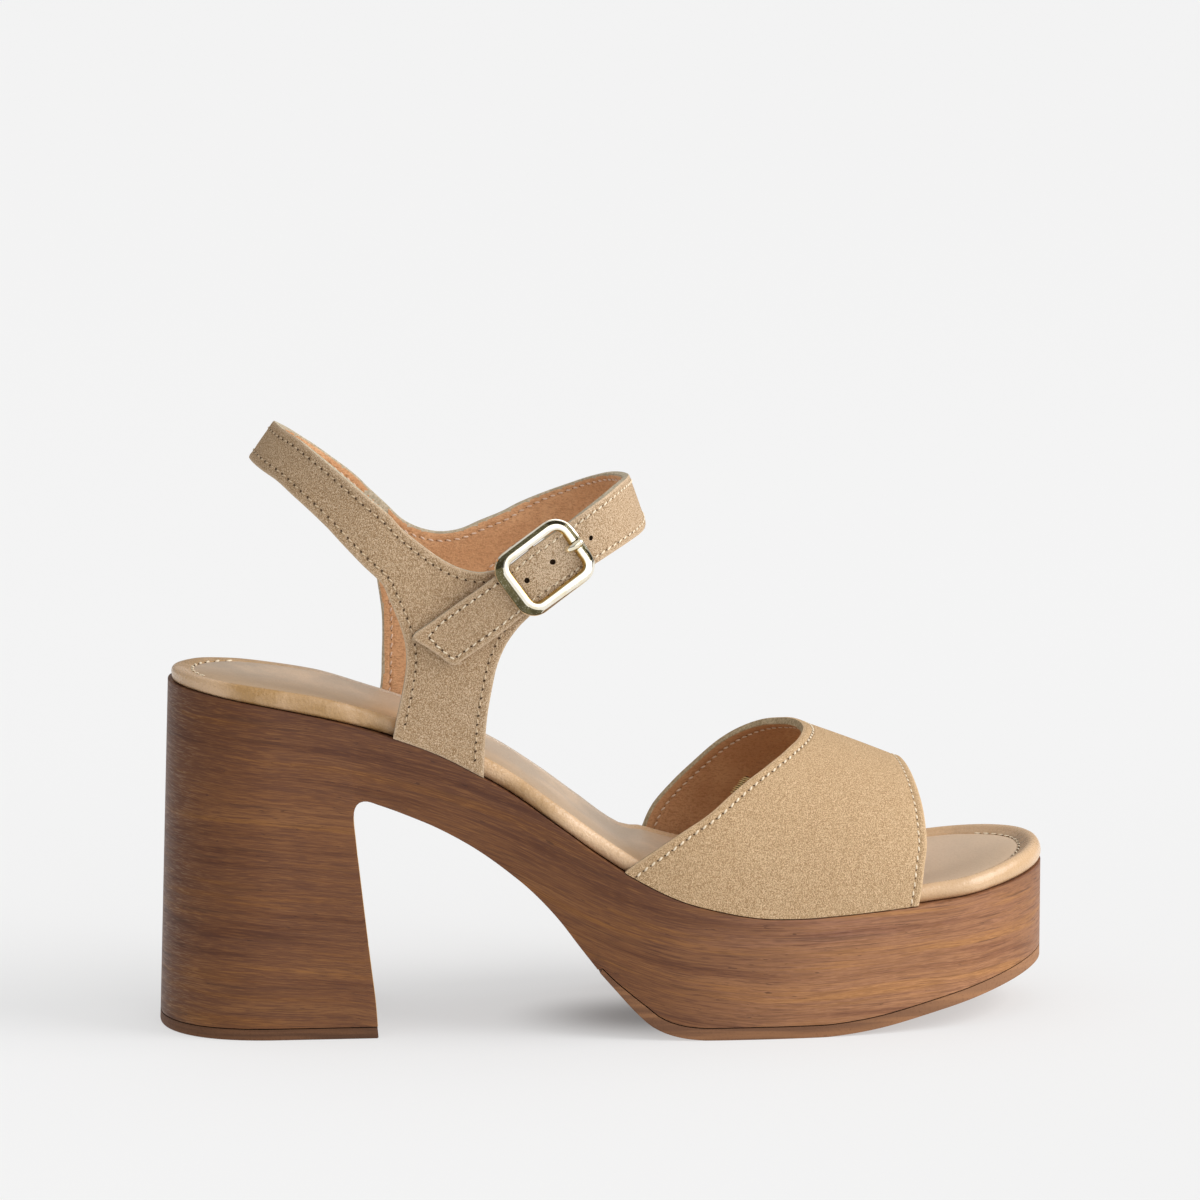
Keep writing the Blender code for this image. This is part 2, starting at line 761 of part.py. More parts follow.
def ankle_part():
    """Ankle piece: both legs, the heel strap and the ankle strap with its punched tail."""
    outline = []
    for rows in (OUTER_LEG_FRONT, TOP_EDGE, TAIL_END, LOW_EDGE):
        outline += edge_points(rows)[:-1]
    front_low = spline(SEAT, -34.7) + GAP
    back_low = spline(SEAT, -58.9) + GAP
    outline[0] = (outline[0][0], front_low)
    outline += [(station("inner", -34.7), front_low)] + foot_edge("inner", -34.7, -58.9)
    back = edge_points(INNER_LEG_BACK)
    back[0] = (back[0][0], back_low)
    back[-1] = (back[-1][0], back_low)
    outline += back + foot_edge("outer", -58.9, -34.7)
    work = bmesh.new()
    work.faces.new([work.verts.new((s, z, 0.0)) for s, z in outline])
    span = max(s for s, _ in outline)
    cuts = [(CELL * i, 0.0, (1.0, 0.0, 0.0)) for i in range(-4, int(span / CELL) + 1)]
    cuts += [(0.0, z, (0.0, 1.0, 0.0)) for z in LEG_CUTS]
    for s, z, across in cuts:
        everything = work.verts[:] + work.edges[:] + work.faces[:]
        bmesh.ops.bisect_plane(work, geom=everything, dist=0.0005, plane_co=(s, z, 0.0), plane_no=across)
    bmesh.ops.triangulate(work, faces=work.faces)
    for vert in work.verts:
        vert.co = ankle_point(vert.co.x, vert.co.y)
    body = new_object("ankle_straps", to_mesh("ankle_straps", work), "suede")
    thicken(body, WALL_STRAP, outwards=True)
    for i in range(len(HOLES)):
        punch = hole_cutter(i)
        apply_boolean(body, "DIFFERENCE", punch)


def buckle_matrix():
    """Turns the buckle's own axes, along, across and away, into the shoe's."""
    turn = math.radians(BUCKLE_TURN)
    along = Vector((math.cos(turn), 0.0, math.sin(turn)))
    across = Vector((-math.sin(turn), 0.0, math.cos(turn)))
    away = Vector((0.0, -1.0, 0.0))
    frame = Matrix((along, across, away)).transposed().to_4x4()
    return Matrix.Translation((BUCKLE_AT[0], 0.0, BUCKLE_AT[1])) @ frame


def hole_cutter(i):
    """Punch for one of the strap's holes."""
    work = bmesh.new()
    radius = PRONG_HOLE_R if i == PRONG_HOLE else HOLE_R
    bmesh.ops.create_cone(work, cap_ends=True, segments=14, radius1=radius, radius2=radius, depth=7.0)
    lift = OVER_Y + WALL_STRAP / 2.0
    turn = buckle_matrix() @ Matrix.Translation((HOLES[i], 0.0 if i == PRONG_HOLE else HOLE_ACROSS, lift))
    bmesh.ops.transform(work, matrix=turn, verts=work.verts)
    cutter = bpy.data.objects.new("hole_cutter_%d" % i, to_mesh("hole_cutter", work))
    cutters.objects.link(cutter)
    cutter.hide_render = True
    cutter.display_type = "WIRE"
    return cutter


def rounded_rectangle(long, wide, corner, away):
    """Points of a rectangle with rounded corners at one height."""
    points = []
    for quarter in range(4):
        side_x = 1.0 if quarter in (0, 3) else -1.0
        side_y = 1.0 if quarter in (0, 1) else -1.0
        for k in range(7):
            a = math.pi / 2.0 * (quarter + k / 6.0)
            x = side_x * (long / 2.0 - corner) + corner * math.cos(a)
            y = side_y * (wide / 2.0 - corner) + corner * math.sin(a)
            points.append((x, y, away))
    return points


def buckle_parts():
    """Buckle frame with its hidden centre bar, and the prong that lies on the frame."""
    low = FRAME_LIFT
    high = FRAME_LIFT + BUCKLE_THICK
    slim = 2.0 * BUCKLE_BEVEL
    inner_long = BUCKLE_LONG - 2.0 * BUCKLE_BAR
    inner_wide = BUCKLE_WIDE - 2.0 * BUCKLE_BAR
    inner_corner = BUCKLE_CORNER - BUCKLE_BAR * 0.7
    rings = [
        rounded_rectangle(BUCKLE_LONG, BUCKLE_WIDE, BUCKLE_CORNER, low),
        rounded_rectangle(BUCKLE_LONG, BUCKLE_WIDE, BUCKLE_CORNER, high - BUCKLE_BEVEL),
        rounded_rectangle(BUCKLE_LONG - slim, BUCKLE_WIDE - slim, BUCKLE_CORNER - BUCKLE_BEVEL, high),
        rounded_rectangle(inner_long + slim, inner_wide + slim, inner_corner + BUCKLE_BEVEL, high),
        rounded_rectangle(inner_long, inner_wide, inner_corner, high - BUCKLE_BEVEL),
        rounded_rectangle(inner_long, inner_wide, inner_corner, low),
    ]
    ring = ring_loft(rings, closed=True)
    bmesh.ops.transform(ring, matrix=buckle_matrix(), verts=ring.verts)
    frame = new_object("buckle_frame", to_mesh("buckle_frame", ring), "pale_gold")
    staple = (
        (0.0, -POST_ACROSS, low + 1.2),
        (0.0, -POST_ACROSS, CENTRE_BAR_Y),
        (0.0, POST_ACROSS, CENTRE_BAR_Y),
        (0.0, POST_ACROSS, low + 1.2),
    )
    bar = bpy.data.objects.new("centre_bar_tool", rod("centre_bar_tool", staple, CENTRE_BAR_R))
    cutters.objects.link(bar)
    bar.hide_render = True
    bar.display_type = "WIRE"
    apply_boolean(frame, "UNION", bar)
    prong = rod("buckle_prong", [(along, 0.0, away) for along, away in PRONG], PRONG_R)
    new_object("buckle_prong", prong, "pale_gold")


def rod(name, path, radius):
    """A round rod along a path given in the buckle's own axes."""
    curve = bpy.data.curves.new(name + "_path", "CURVE")
    curve.dimensions = "3D"
    line = curve.splines.new("POLY")
    line.points.add(len(path) - 1)
    for point, place in zip(line.points, path):
        point.co = (*(v * MM for v in place), 1.0)
    curve.bevel_depth = radius * MM
    curve.bevel_resolution = 2
    curve.use_fill_caps = True
    holder = bpy.data.objects.new(name + "_path", curve)
    cutters.objects.link(holder)
    graph = bpy.context.evaluated_depsgraph_get()
    mesh = bpy.data.meshes.new_from_object(holder.evaluated_get(graph))
    bpy.data.objects.remove(holder, do_unlink=True)
    work = bmesh.new()
    work.from_mesh(mesh)
    bmesh.ops.remove_doubles(work, verts=work.verts, dist=0.00001)
    bmesh.ops.scale(work, vec=(1.0 / MM, 1.0 / MM, 1.0 / MM), verts=work.verts)
    bmesh.ops.transform(work, matrix=buckle_matrix(), verts=work.verts)
    return to_mesh(name, work)


def main():
    """Builds every piece in turn."""
    for old in list(bpy.data.objects):
        bpy.data.objects.remove(old, do_unlink=True)
    cutter = plan_cutter()
    platform_parts(cutter)
    footbed_parts()
    vamp_part()
    ankle_part()
    buckle_parts()


parts = bpy.data.collections.new(OBJECT_NAME)
cutters = bpy.data.collections.new("cutters")
bpy.context.scene.collection.children.link(parts)
bpy.context.scene.collection.children.link(cutters)
main()
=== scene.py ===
"""Dresses the platform sandal: wood-look sole, padded footbed, suede upper, threads and buckle.

Tables and flat patterns are in millimetres, in the shoe's own axes; finished meshes are in metres.
"""
import bisect
import logging
import math
from collections.abc import Callable, Iterable, Sequence
from dataclasses import dataclass, field
from enum import Enum, IntEnum
from typing import Any, Protocol

import bmesh
import bpy
from mathutils import Matrix, Vector
from mathutils.kdtree import KDTree


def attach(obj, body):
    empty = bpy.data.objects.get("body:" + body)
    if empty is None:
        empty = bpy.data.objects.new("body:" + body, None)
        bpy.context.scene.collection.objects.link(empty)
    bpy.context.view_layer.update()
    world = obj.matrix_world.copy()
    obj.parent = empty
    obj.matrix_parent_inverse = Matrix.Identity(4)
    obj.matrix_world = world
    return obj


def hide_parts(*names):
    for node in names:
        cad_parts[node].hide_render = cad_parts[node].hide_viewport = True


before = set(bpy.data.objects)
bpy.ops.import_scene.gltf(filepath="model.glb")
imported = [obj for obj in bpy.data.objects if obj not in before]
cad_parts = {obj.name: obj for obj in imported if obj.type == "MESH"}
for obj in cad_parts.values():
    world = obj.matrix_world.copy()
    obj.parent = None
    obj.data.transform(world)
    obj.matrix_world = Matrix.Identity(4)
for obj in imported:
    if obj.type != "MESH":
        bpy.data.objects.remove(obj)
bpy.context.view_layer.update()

LOG = logging.getLogger("sandal")
MM = 0.001
GAP = 0.3
SHIFT = Vector((-0.65, -1.2, 0.0))
Rows = tuple[tuple[float, ...], ...]
Colour = tuple[float, float, float]


class Side(IntEnum):
    """Sides of the shoe, as columns of its tables."""

    OUTER = 1
    INNER = 2


class Run(Enum):
    """Runs of the ankle piece round the leg."""

    OUTER = "outer"
    BACK = "back"
    INNER = "inner"
    FRONT = "front"
    OVER = "over"


class Cut(Enum):
    """Ways in which one closed mesh cuts another."""

    INTERSECT = "INTERSECT"
    DIFFERENCE = "DIFFERENCE"


Marks = tuple[tuple[Run, Rows], ...]


def ease(low: float, high: float, at: float) -> float:
    """Smooth step from 0 to 1 between two places.

    Args:
        low: Place where the step starts.
        high: Place where the step ends.
        at: Place that is asked for.

    Returns:
        Share of the step that is done.
    """
    t = min(max((at - low) / (high - low), 0.0), 1.0)
    return t * t * (3.0 - 2.0 * t)


def hump(at: float, centre: float, width: float) -> float:
    """Bell curve of height 1 round a centre."""
    return math.exp(-(((at - centre) / width) ** 2))


def ripple(at: float) -> float:
    """Slow uneven wave between -1 and 1, the same on every run."""
    return 0.5 * math.sin(at) + 0.3 * math.sin(2.3 * at + 1.1) + 0.2 * math.sin(4.1 * at + 2.7)


@dataclass(frozen=True)
class Table:
    """Rows of a smooth curve: a key, then one or more values."""

    rows: Rows

    def at(self, key: float, column: int = 1) -> float:
        """Smooth value at a key.

        Args:
            key: Place along the first column.
            column: Column that is asked for.

        Returns:
            Value between the two nearest rows.
        """
        rows = self.rows
        i = min(max(bisect.bisect_right([row[0] for row in rows], key) - 1, 0), len(rows) - 2)
        step = rows[i + 1][0] - rows[i][0]
        t = min(max((key - rows[i][0]) / step, 0.0), 1.0)
        a, b = rows[i][column], rows[i + 1][column]
        m, n = self.slope(i, column) * step, self.slope(i + 1, column) * step
        start = a * (2 * t**3 - 3 * t**2 + 1) + m * (t**3 - 2 * t**2 + t)
        return start + b * (3 * t**2 - 2 * t**3) + n * (t**3 - t**2)

    def slope(self, i: int, column: int) -> float:
        """Slope at row i, from its neighbours."""
        low, high = self.rows[max(i - 1, 0)], self.rows[min(i + 1, len(self.rows) - 1)]
        return (high[column] - low[column]) / (high[0] - low[0])


@dataclass(frozen=True)
class Last:
    """Plan and side view that every piece of the shoe follows."""

    plan: Table = Table((
        (-118.0, 27.6, 27.6), (-95.0, 27.9, 27.8), (-75.0, 28.8, 28.4), (-55.0, 29.2, 28.2),
        (-30.0, 31.5, 28.4), (-10.0, 35.0, 31.0), (5.0, 38.3, 35.0), (20.0, 40.5, 40.0),
        (38.0, 41.0, 43.0), (55.0, 40.2, 43.0), (72.0, 38.0, 41.5), (85.0, 35.2, 39.7),
        (95.0, 32.4, 37.7), (105.0, 28.8, 35.6), (121.8, 23.0, 31.5),
    ))
    seat: Table = Table((
        (-130.0, 94.6), (-118.0, 94.0), (-110.0, 93.2), (-102.0, 91.9), (-94.0, 90.5),
        (-83.5, 88.4), (-73.0, 86.0), (-57.0, 80.9), (-46.5, 76.7), (-36.0, 71.2),
        (-25.5, 65.0), (-15.0, 57.6), (-4.5, 49.8), (6.0, 43.2), (17.0, 37.9), (27.5, 34.9),
        (38.0, 32.9), (49.0, 32.4), (60.0, 32.8), (71.0, 33.5), (82.5, 34.3), (94.0, 35.3),
        (106.0, 37.0), (114.0, 38.4), (121.4, 39.8), (130.0, 41.3),
    ))
    rim: Table = Table((
        (-118.0, 3.4, 2.7), (-106.0, 4.2, 3.1), (-98.0, 4.6, 3.5), (-80.0, 5.2, 4.1),
        (-60.0, 5.0, 4.3),
        (-40.0, 5.3, 4.9), (-20.0, 5.4, 5.2), (-5.0, 5.3, 4.85), (3.2, 5.1, 3.7), (8.7, 4.8, 3.45),
        (14.5, 4.5, 5.2), (30.0, 4.6, 5.2), (60.0, 4.8, 6.0), (90.0, 4.7, 6.3), (100.0, 4.9, 6.4),
        (108.0, 5.2, 6.4), (116.0, 5.6, 6.2), (122.0, 5.8, 5.8),
    ))
    back: float = -118.0
    tip: float = 121.4
    tip_y: float = 5.0
    heel_round: float = 30.0
    toe_round: float = 32.0
    power: float = 2.2
    bed_free: float = 0.9
    heel_in: float = 0.6
    toe_out: float = 0.9
    bed_tucked: float = 3.1
    tuck_ease: float = 15.0
    tucks: tuple[Rows, Rows] = (((-61.5, -32.0), (-1.5, 87.5)), ((-61.5, -32.0), (10.5, 90.0)))

    def rounding(self, distance: float, length: float) -> float:
        """Share of the full width at a distance from a rounded end."""
        share = 1.0 - min(max(distance, 0.0) / length, 1.0)
        return (1.0 - share**self.power) ** (1.0 / self.power)

    def side(self, x: float, column: Side) -> float:
        """Side of the platform at a place.

        Args:
            x: Place along the shoe.
            column: Side of the shoe.

        Returns:
            Distance across the shoe.
        """
        centre = self.tip_y * ease(60.0, self.tip, x)
        sign = -1.0 if column is Side.OUTER else 1.0
        wide = self.plan.at(x, column) - sign * centre
        wide *= (
            self.rounding(x - self.back, self.heel_round)
            * self.rounding(self.tip - x, self.toe_round)
        )
        return centre + sign * wide

    def stations(self, steps: int) -> list[float]:
        """Places along the shoe, closer together at its ends."""
        middle, half = (self.back + self.tip) / 2.0, (self.tip - self.back) / 2.0
        return [middle - half * math.cos(math.pi * i / steps) for i in range(steps + 1)]

    def loop(self, steps: int) -> list[Vector]:
        """Plan outline from the back along the outer side and back along the inner one.

        Args:
            steps: Steps along each side.

        Returns:
            Points of the closed outline.
        """
        places = self.stations(steps)
        outer = [Vector((x, self.side(x, Side.OUTER))) for x in places]
        return outer + [Vector((x, self.side(x, Side.INNER))) for x in places[-2:0:-1]]

    def inset(self, loop: list[Vector], amounts: Sequence[float]) -> list[Vector]:
        """Outline moved inwards.

        Args:
            loop: Points of the closed outline.
            amounts: Distance inwards of each point.

        Returns:
            Moved points, in the same order.
        """
        moved = []
        for i, point in enumerate(loop):
            along = (loop[(i + 1) % len(loop)] - loop[i - 1]).normalized()
            moved.append(point + Vector((-along.y, along.x)) * amounts[i])
        return moved

    def bed_edge(self, x: float, column: Side) -> float:
        """Room between the platform's edge and the footbed, more where the upper is tucked in.

        Args:
            x: Place along the shoe.
            column: Side of the shoe.

        Returns:
            Distance inwards.
        """
        tucked = 0.0
        for low, high in self.tucks[column - 1]:
            tucked = max(
                tucked,
                ease(low - self.tuck_ease, low, x) * (1.0 - ease(high, high + self.tuck_ease, x)),
            )
        free = (
            self.bed_free
            + self.heel_in * ease(-105.0, -117.0, x)
            - self.toe_out * ease(100.0, 118.0, x)
        )
        return free + (self.bed_tucked - free) * tucked

    def bed_loop(self, steps: int) -> list[Vector]:
        """Outline of the footbed.

        Args:
            steps: Steps along each side.

        Returns:
            Points of the closed outline, in the order of the plan's.
        """
        loop = self.loop(steps)
        room = [
            self.bed_edge(p.x, Side.OUTER if i <= steps else Side.INNER) for i, p in enumerate(loop)
        ]
        return self.inset(loop, room)

    def bed(self, x: float) -> float:
        """Height on which the footbed and the upper stand."""
        return self.seat.at(x) + GAP

    def across(self, table: Table, x: float, y: float) -> float:
        """Value between a table's outer and inner columns.

        Args:
            table: Rows with one column for the outer side and one for the inner.
            x: Place along the shoe.
            y: Place across it.

        Returns:
            Value that passes from one column to the other across the shoe.
        """
        outer, inner = self.side(x, Side.OUTER), self.side(x, Side.INNER)
        return (
            table.at(x, 1)
            + (table.at(x, 2) - table.at(x, 1)) * ease(outer, max(inner, outer + 0.1), y)
        )

    def rise(self, x: float, y: float) -> float:
        """Height of the footbed's rim above the seat."""
        return self.across(self.rim, x, y)


LAST = Last()


class Wire:
    """Socket of a shader whose arithmetic adds Math nodes."""

    def __init__(self, graph: "Graph", socket: bpy.types.NodeSocket) -> None:
        """Keeps the graph and the socket."""
        self.graph = graph
        self.socket = socket

    def math(self, operation: str, first: Any, second: Any) -> "Wire":
        """Adds one Math node.

        Args:
            operation: Name of the Math node's operation.
            first: Wire or number on the first socket.
            second: Wire or number on the second socket.

        Returns:
            Wire of the result.
        """
        return self.graph.add("ShaderNodeMath", {"operation": operation}, {0: first, 1: second})

    def __add__(self, other: Any) -> "Wire":
        """Sum."""
        return self.math("ADD", self, other)

    def __radd__(self, other: Any) -> "Wire":
        """Reflected sum."""
        return self.math("ADD", other, self)

    def __sub__(self, other: Any) -> "Wire":
        """Difference."""
        return self.math("SUBTRACT", self, other)

    def __rsub__(self, other: Any) -> "Wire":
        """Reflected difference."""
        return self.math("SUBTRACT", other, self)

    def __mul__(self, other: Any) -> "Wire":
        """Product."""
        return self.math("MULTIPLY", self, other)

    def __rmul__(self, other: Any) -> "Wire":
        """Reflected product."""
        return self.math("MULTIPLY", other, self)

    def __pow__(self, other: Any) -> "Wire":
        """Power."""
        return self.math("POWER", self, other)

    def span(self, low: float, high: float, start: float = 0.0, end: float = 1.0) -> "Wire":
        """Smooth change between two values.

        Args:
            low: Value where the change starts.
            high: Value where the change ends.
            start: Result below low.
            end: Result above high.

        Returns:
            Wire of the result.
        """
        settings = {"interpolation_type": "SMOOTHSTEP"}
        return self.graph.add(
            "ShaderNodeMapRange", settings, {0: self, 1: low, 2: high, 3: start, 4: end}
        )


class Graph:
    """Node tree of one finish."""

    def __init__(self, owner: Any) -> None:
        """Empties the node tree of a material or a world.

        Args:
            owner: Material or world.
        """
        self.owner = owner
        owner.use_nodes = True
        self.tree = owner.node_tree
        self.tree.nodes.clear()

    def add(
        self, kind: str, settings: dict | None = None, sockets: dict | None = None, out: Any = 0
    ) -> Wire:
        """Adds one node.

        Args:
            kind: Type of the node.
            settings: Properties that are set first; "stops" holds a ramp's places and colours.
            sockets: Value or Wire of each input, by name or number.
            out: Name or number of the output that is returned.

        Returns:
            Wire of that output.
        """
        node = self.tree.nodes.new(kind)
        for key, value in (settings or {}).items():
            if key == "stops":
                self.stops(node.color_ramp, value)
            else:
                setattr(node, key, value)
        for key, value in (sockets or {}).items():
            if isinstance(value, Wire):
                self.tree.links.new(value.socket, node.inputs[key])
            elif (
                isinstance(value, tuple)
                and len(value) == 3
                and len(node.inputs[key].default_value) == 4
            ):
                node.inputs[key].default_value = (*value, 1.0)
            else:
                node.inputs[key].default_value = value
        return Wire(self, node.outputs[out])

    def stops(self, ramp: bpy.types.ColorRamp, stops: Sequence[tuple[float, Colour]]) -> None:
        """Sets a ramp's places and colours.

        Args:
            ramp: Ramp of the node.
            stops: Places and colours in order.
        """
        while len(ramp.elements) < len(stops):
            ramp.elements.new(1.0)
        for element, (place, colour) in zip(ramp.elements, stops):
            element.position = place
            element.color = (*colour, 1.0)

    def object_place(self) -> Wire:
        """Object coordinates, in metres."""
        return self.add("ShaderNodeTexCoord", out="Object")

    def attribute(self, name: str, out: str = "Fac") -> Wire:
        """Attribute that a mesh carries."""
        return self.add("ShaderNodeAttribute", {"attribute_name": name}, out=out)

    def stretch(self, place: Wire, scale: Colour) -> Wire:
        """Coordinates stretched along their axes."""
        return self.add(
            "ShaderNodeMapping", {"vector_type": "POINT"}, {"Vector": place, "Scale": scale}
        )

    def noise(self, place: Wire, scale: float, detail: float = 3.0, rough: float = 0.55) -> Wire:
        """Cloudy noise.

        Args:
            place: Coordinates.
            scale: Cells per metre.
            detail: Number of finer layers.
            rough: Strength of the finer layers.

        Returns:
            Wire of a value round 0.5.
        """
        sockets = {"Vector": place, "Scale": scale, "Detail": detail, "Roughness": rough}
        return self.add("ShaderNodeTexNoise", {"noise_dimensions": "3D"}, sockets)

    def blend(self, factor: Any, first: Any, second: Any, mode: str = "MIX") -> Wire:
        """Mixes two colours.

        Args:
            factor: Share of the second colour.
            first: Wire or colour.
            second: Wire or colour.
            mode: Name of the blend.

        Returns:
            Wire of the colour.
        """
        settings = {"data_type": "RGBA", "blend_type": mode}
        return self.add("ShaderNodeMix", settings, {0: factor, 6: first, 7: second}, out=2)

    def ramp(self, value: Wire, stops: Sequence[tuple[float, Colour]]) -> Wire:
        """Colour for a value."""
        return self.add("ShaderNodeValToRGB", {"stops": stops}, {0: value}, out="Color")

    def bump(self, height: Wire, depth: float, strength: float = 1.0) -> Wire:
        """Normal that is tilted by a height, with its depth in metres."""
        return self.add(
            "ShaderNodeBump", None, {"Height": height, "Distance": depth, "Strength": strength}
        )

    def surface(self, sockets: dict) -> bpy.types.Material:
        """Closes the tree with its shader.

        Args:
            sockets: Value or Wire of each shader input.

        Returns:
            Finished material.
        """
        shader = self.add("ShaderNodeBsdfPrincipled", None, sockets)
        self.close("ShaderNodeOutputMaterial", shader)
        return self.owner

    def close(self, kind: str, shader: Wire) -> None:
        """Links a shader to the tree's output."""
        output = self.tree.nodes.new(kind)
        self.tree.links.new(shader.socket, output.inputs["Surface"])


@dataclass(frozen=True)
class Suede:
    """Short-napped suede with lighter patches and a pressed line under its stitches."""

    name: str
    base: Colour
    rubbed_and_lit: Colour
    deep: Colour
    front: float = 0.0
    painted_highlight: Colour = (0.86, 0.68, 0.49)

    def make(self) -> bpy.types.Material:
        """Builds the material.

        Returns:
            Finished material.
        """
        graph = Graph(bpy.data.materials.new(self.name))
        place = graph.object_place()
        along = graph.add("ShaderNodeSeparateXYZ", None, {0: place}, out="X")
        cloud = graph.noise(place, 42.0, 3.0, 0.55)
        patch = graph.noise(place, 420.0, 3.0, 0.6)
        nap = graph.noise(place, 3000.0, 2.0, 0.6)
        fibre = graph.noise(graph.stretch(place, (1.0, 1.0, 0.6)), 4600.0, 2.0, 0.6)
        colour = graph.blend(cloud.span(0.45, 0.7, 0.0, 0.3), self.base, self.rubbed_and_lit)
        # Painted light: the ankle piece grows lighter towards its front, where the lamp falls more
        # strongly.
        colour = graph.blend(along.span(-0.045, 0.0, 0.0, self.front), colour, self.rubbed_and_lit)
        # Painted light: a lighter patch of suede in the buckle's window, against the frame's
        # shadow.
        colour = graph.blend(graph.attribute("rub") * 0.85, colour, self.painted_highlight)
        colour = graph.blend(patch.span(0.48, 0.7, 0.0, 0.12), colour, self.deep)
        colour = graph.blend(nap.span(0.48, 0.62, 0.0, 1.0), colour, self.deep)
        colour = graph.blend(nap.span(0.36, 0.5, 0.9, 0.0), colour, self.rubbed_and_lit)
        colour = graph.blend(fibre.span(0.49, 0.62, 0.0, 0.95), colour, self.deep)
        colour = graph.blend(fibre.span(0.37, 0.5, 0.75, 0.0), colour, self.rubbed_and_lit)
        line = graph.attribute("seam").span(0.0, 0.8, 1.0, 0.0)
        colour = graph.blend(line * 0.22, colour, self.deep)
        rim = graph.attribute("edge").span(0.0, 0.9, 0.6, 0.0)
        colour = graph.blend(rim, colour, self.rubbed_and_lit)
        height = nap * 0.6 + fibre * 0.4 + patch * 0.35 - line * 0.6
        return graph.surface({
            "Base Color": colour,
            "Roughness": 0.95,
            "Specular IOR Level": 0.1,
            "Sheen Weight": 0.12,
            "Sheen Roughness": 0.5,
            "Sheen Tint": (*self.rubbed_and_lit, 1.0),
            "Normal": graph.bump(height, 0.0006, 0.9),
        })


@dataclass(frozen=True)
class Lining:
    """Thin lining leather with a fine pressed grain."""

    name: str
    base: Colour
    dark: Colour
    light: Colour
    foot: float = 0.0

    def make(self) -> bpy.types.Material:
        """Builds the material.

        Returns:
            Finished material.
        """
        graph = Graph(bpy.data.materials.new(self.name))
        place = graph.object_place()
        height = graph.add("ShaderNodeSeparateXYZ", None, {0: place}, out="Z")
        cloud = graph.noise(place, 60.0, 4.0, 0.6)
        grain = graph.noise(graph.stretch(place, (0.7, 0.7, 1.4)), 1500.0, 2.0, 0.6)
        fine = graph.noise(place, 3200.0, 2.0)
        colour = graph.blend(cloud.span(0.4, 0.66), self.base, self.light)
        # Painted light: the lining is lighter low on the legs, against the shade there.
        colour = graph.blend(height.span(0.1, 0.125, self.foot, 0.0), colour, self.light)
        colour = graph.blend(grain.span(0.44, 0.66, 0.0, 0.65), colour, self.dark)
        colour = graph.blend(fine.span(0.36, 0.5, 0.5, 0.0), colour, self.light)
        line = graph.attribute("seam").span(0.0, 0.9, 1.0, 0.0)
        colour = graph.blend(line * 0.25, colour, self.dark)
        rim = graph.attribute("edge").span(0.0, 1.6, 0.3, 0.0)
        colour = graph.blend(rim, colour, self.light)
        relief = fine * 0.3 + grain * 0.8 - line * 0.8
        return graph.surface({
            "Base Color": colour,
            "Roughness": grain.span(0.3, 0.7, 0.5, 0.64),
            "Specular IOR Level": 0.25,
            "Normal": graph.bump(relief, 0.0004, 0.8),
        })


@dataclass(frozen=True)
class CutEdge:
    """Raw cut edge of leather, with layers and fibres."""

    name: str
    base: Colour
    fibre: Colour

    def make(self) -> bpy.types.Material:
        """Builds the material.

        Returns:
            Finished material.
        """
        graph = Graph(bpy.data.materials.new(self.name))
        place = graph.object_place()
        fine = graph.noise(place, 1300.0, 4.0, 0.7)
        broad = graph.noise(place, 240.0, 3.0)
        colour = graph.blend(fine.span(0.38, 0.64), self.base, self.fibre)
        colour = graph.blend(broad.span(0.45, 0.7, 0.0, 0.35), colour, self.base)
        return graph.surface({
            "Base Color": colour,
            "Roughness": 0.92,
            "Specular IOR Level": 0.12,
            "Normal": graph.bump(fine * 0.8 + broad * 0.5, 0.0004, 0.7),
        })


@dataclass(frozen=True)
class SmoothLeather:
    """Finished leather with fine pores, creases and a soft gloss."""

    name: str
    base: Colour
    dark: Colour
    light: Colour
    gloss: float = 0.45
    front: float = 0.6
    relief: float = 0.5
    pleat_shade_colour: Colour = (0.15, 0.105, 0.075)
    pale: Colour = (0.57, 0.47, 0.375)
    tan: Colour = (0.50, 0.335, 0.19)
    fade: tuple[float, float] = (-0.01, 0.08)

    def make(self) -> bpy.types.Material:
        """Builds the material.

        Returns:
            Finished material.
        """
        graph = Graph(bpy.data.materials.new(self.name))
        place = graph.object_place()
        cloud = graph.noise(place, 38.0, 4.0, 0.6)
        fine = graph.noise(place, 1500.0, 3.0, 0.6)
        crease = graph.noise(graph.stretch(place, (1.0, 0.35, 1.0)), 170.0, 4.0, 0.6)
        pebble = graph.noise(place, 1000.0, 2.0, 0.6)
        along = graph.add("ShaderNodeSeparateXYZ", None, {0: place}, out="X")
        colour = graph.blend(cloud.span(0.38, 0.64), self.base, self.light)
        # Painted light: lighter towards the toe, where the lamp falls more strongly.
        colour = graph.blend(along.span(*self.fade, 0.0, self.front), colour, self.light)
        # The sock's own tan shows towards the outer side; its paler tone elsewhere is painted
        # reflection.
        colour = graph.blend(graph.attribute("warm"), colour, self.tan)
        # Painted reflection: the bed's inner rim at the waist is paler.
        colour = graph.blend(graph.attribute("pale") * 0.85, colour, self.pale)
        colour = graph.blend(fine.span(0.5, 0.74, 0.0, 0.25), colour, self.dark)
        colour = graph.blend(crease.span(0.56, 0.74, 0.0, 0.12), colour, self.dark)
        # Painted shade in the pleats round the toe.
        colour = graph.blend(graph.attribute("fold") * 0.75, colour, self.pleat_shade_colour)
        height = fine * 0.25 + crease * 0.4 + pebble * along.span(-0.02, 0.06, 1.0, 0.35)
        return graph.surface({
            "Base Color": colour,
            "Roughness": fine.span(0.3, 0.7, self.gloss, self.gloss + 0.1),
            "Specular IOR Level": 0.5,
            "Normal": graph.bump(height, 0.0003, self.relief),
        })


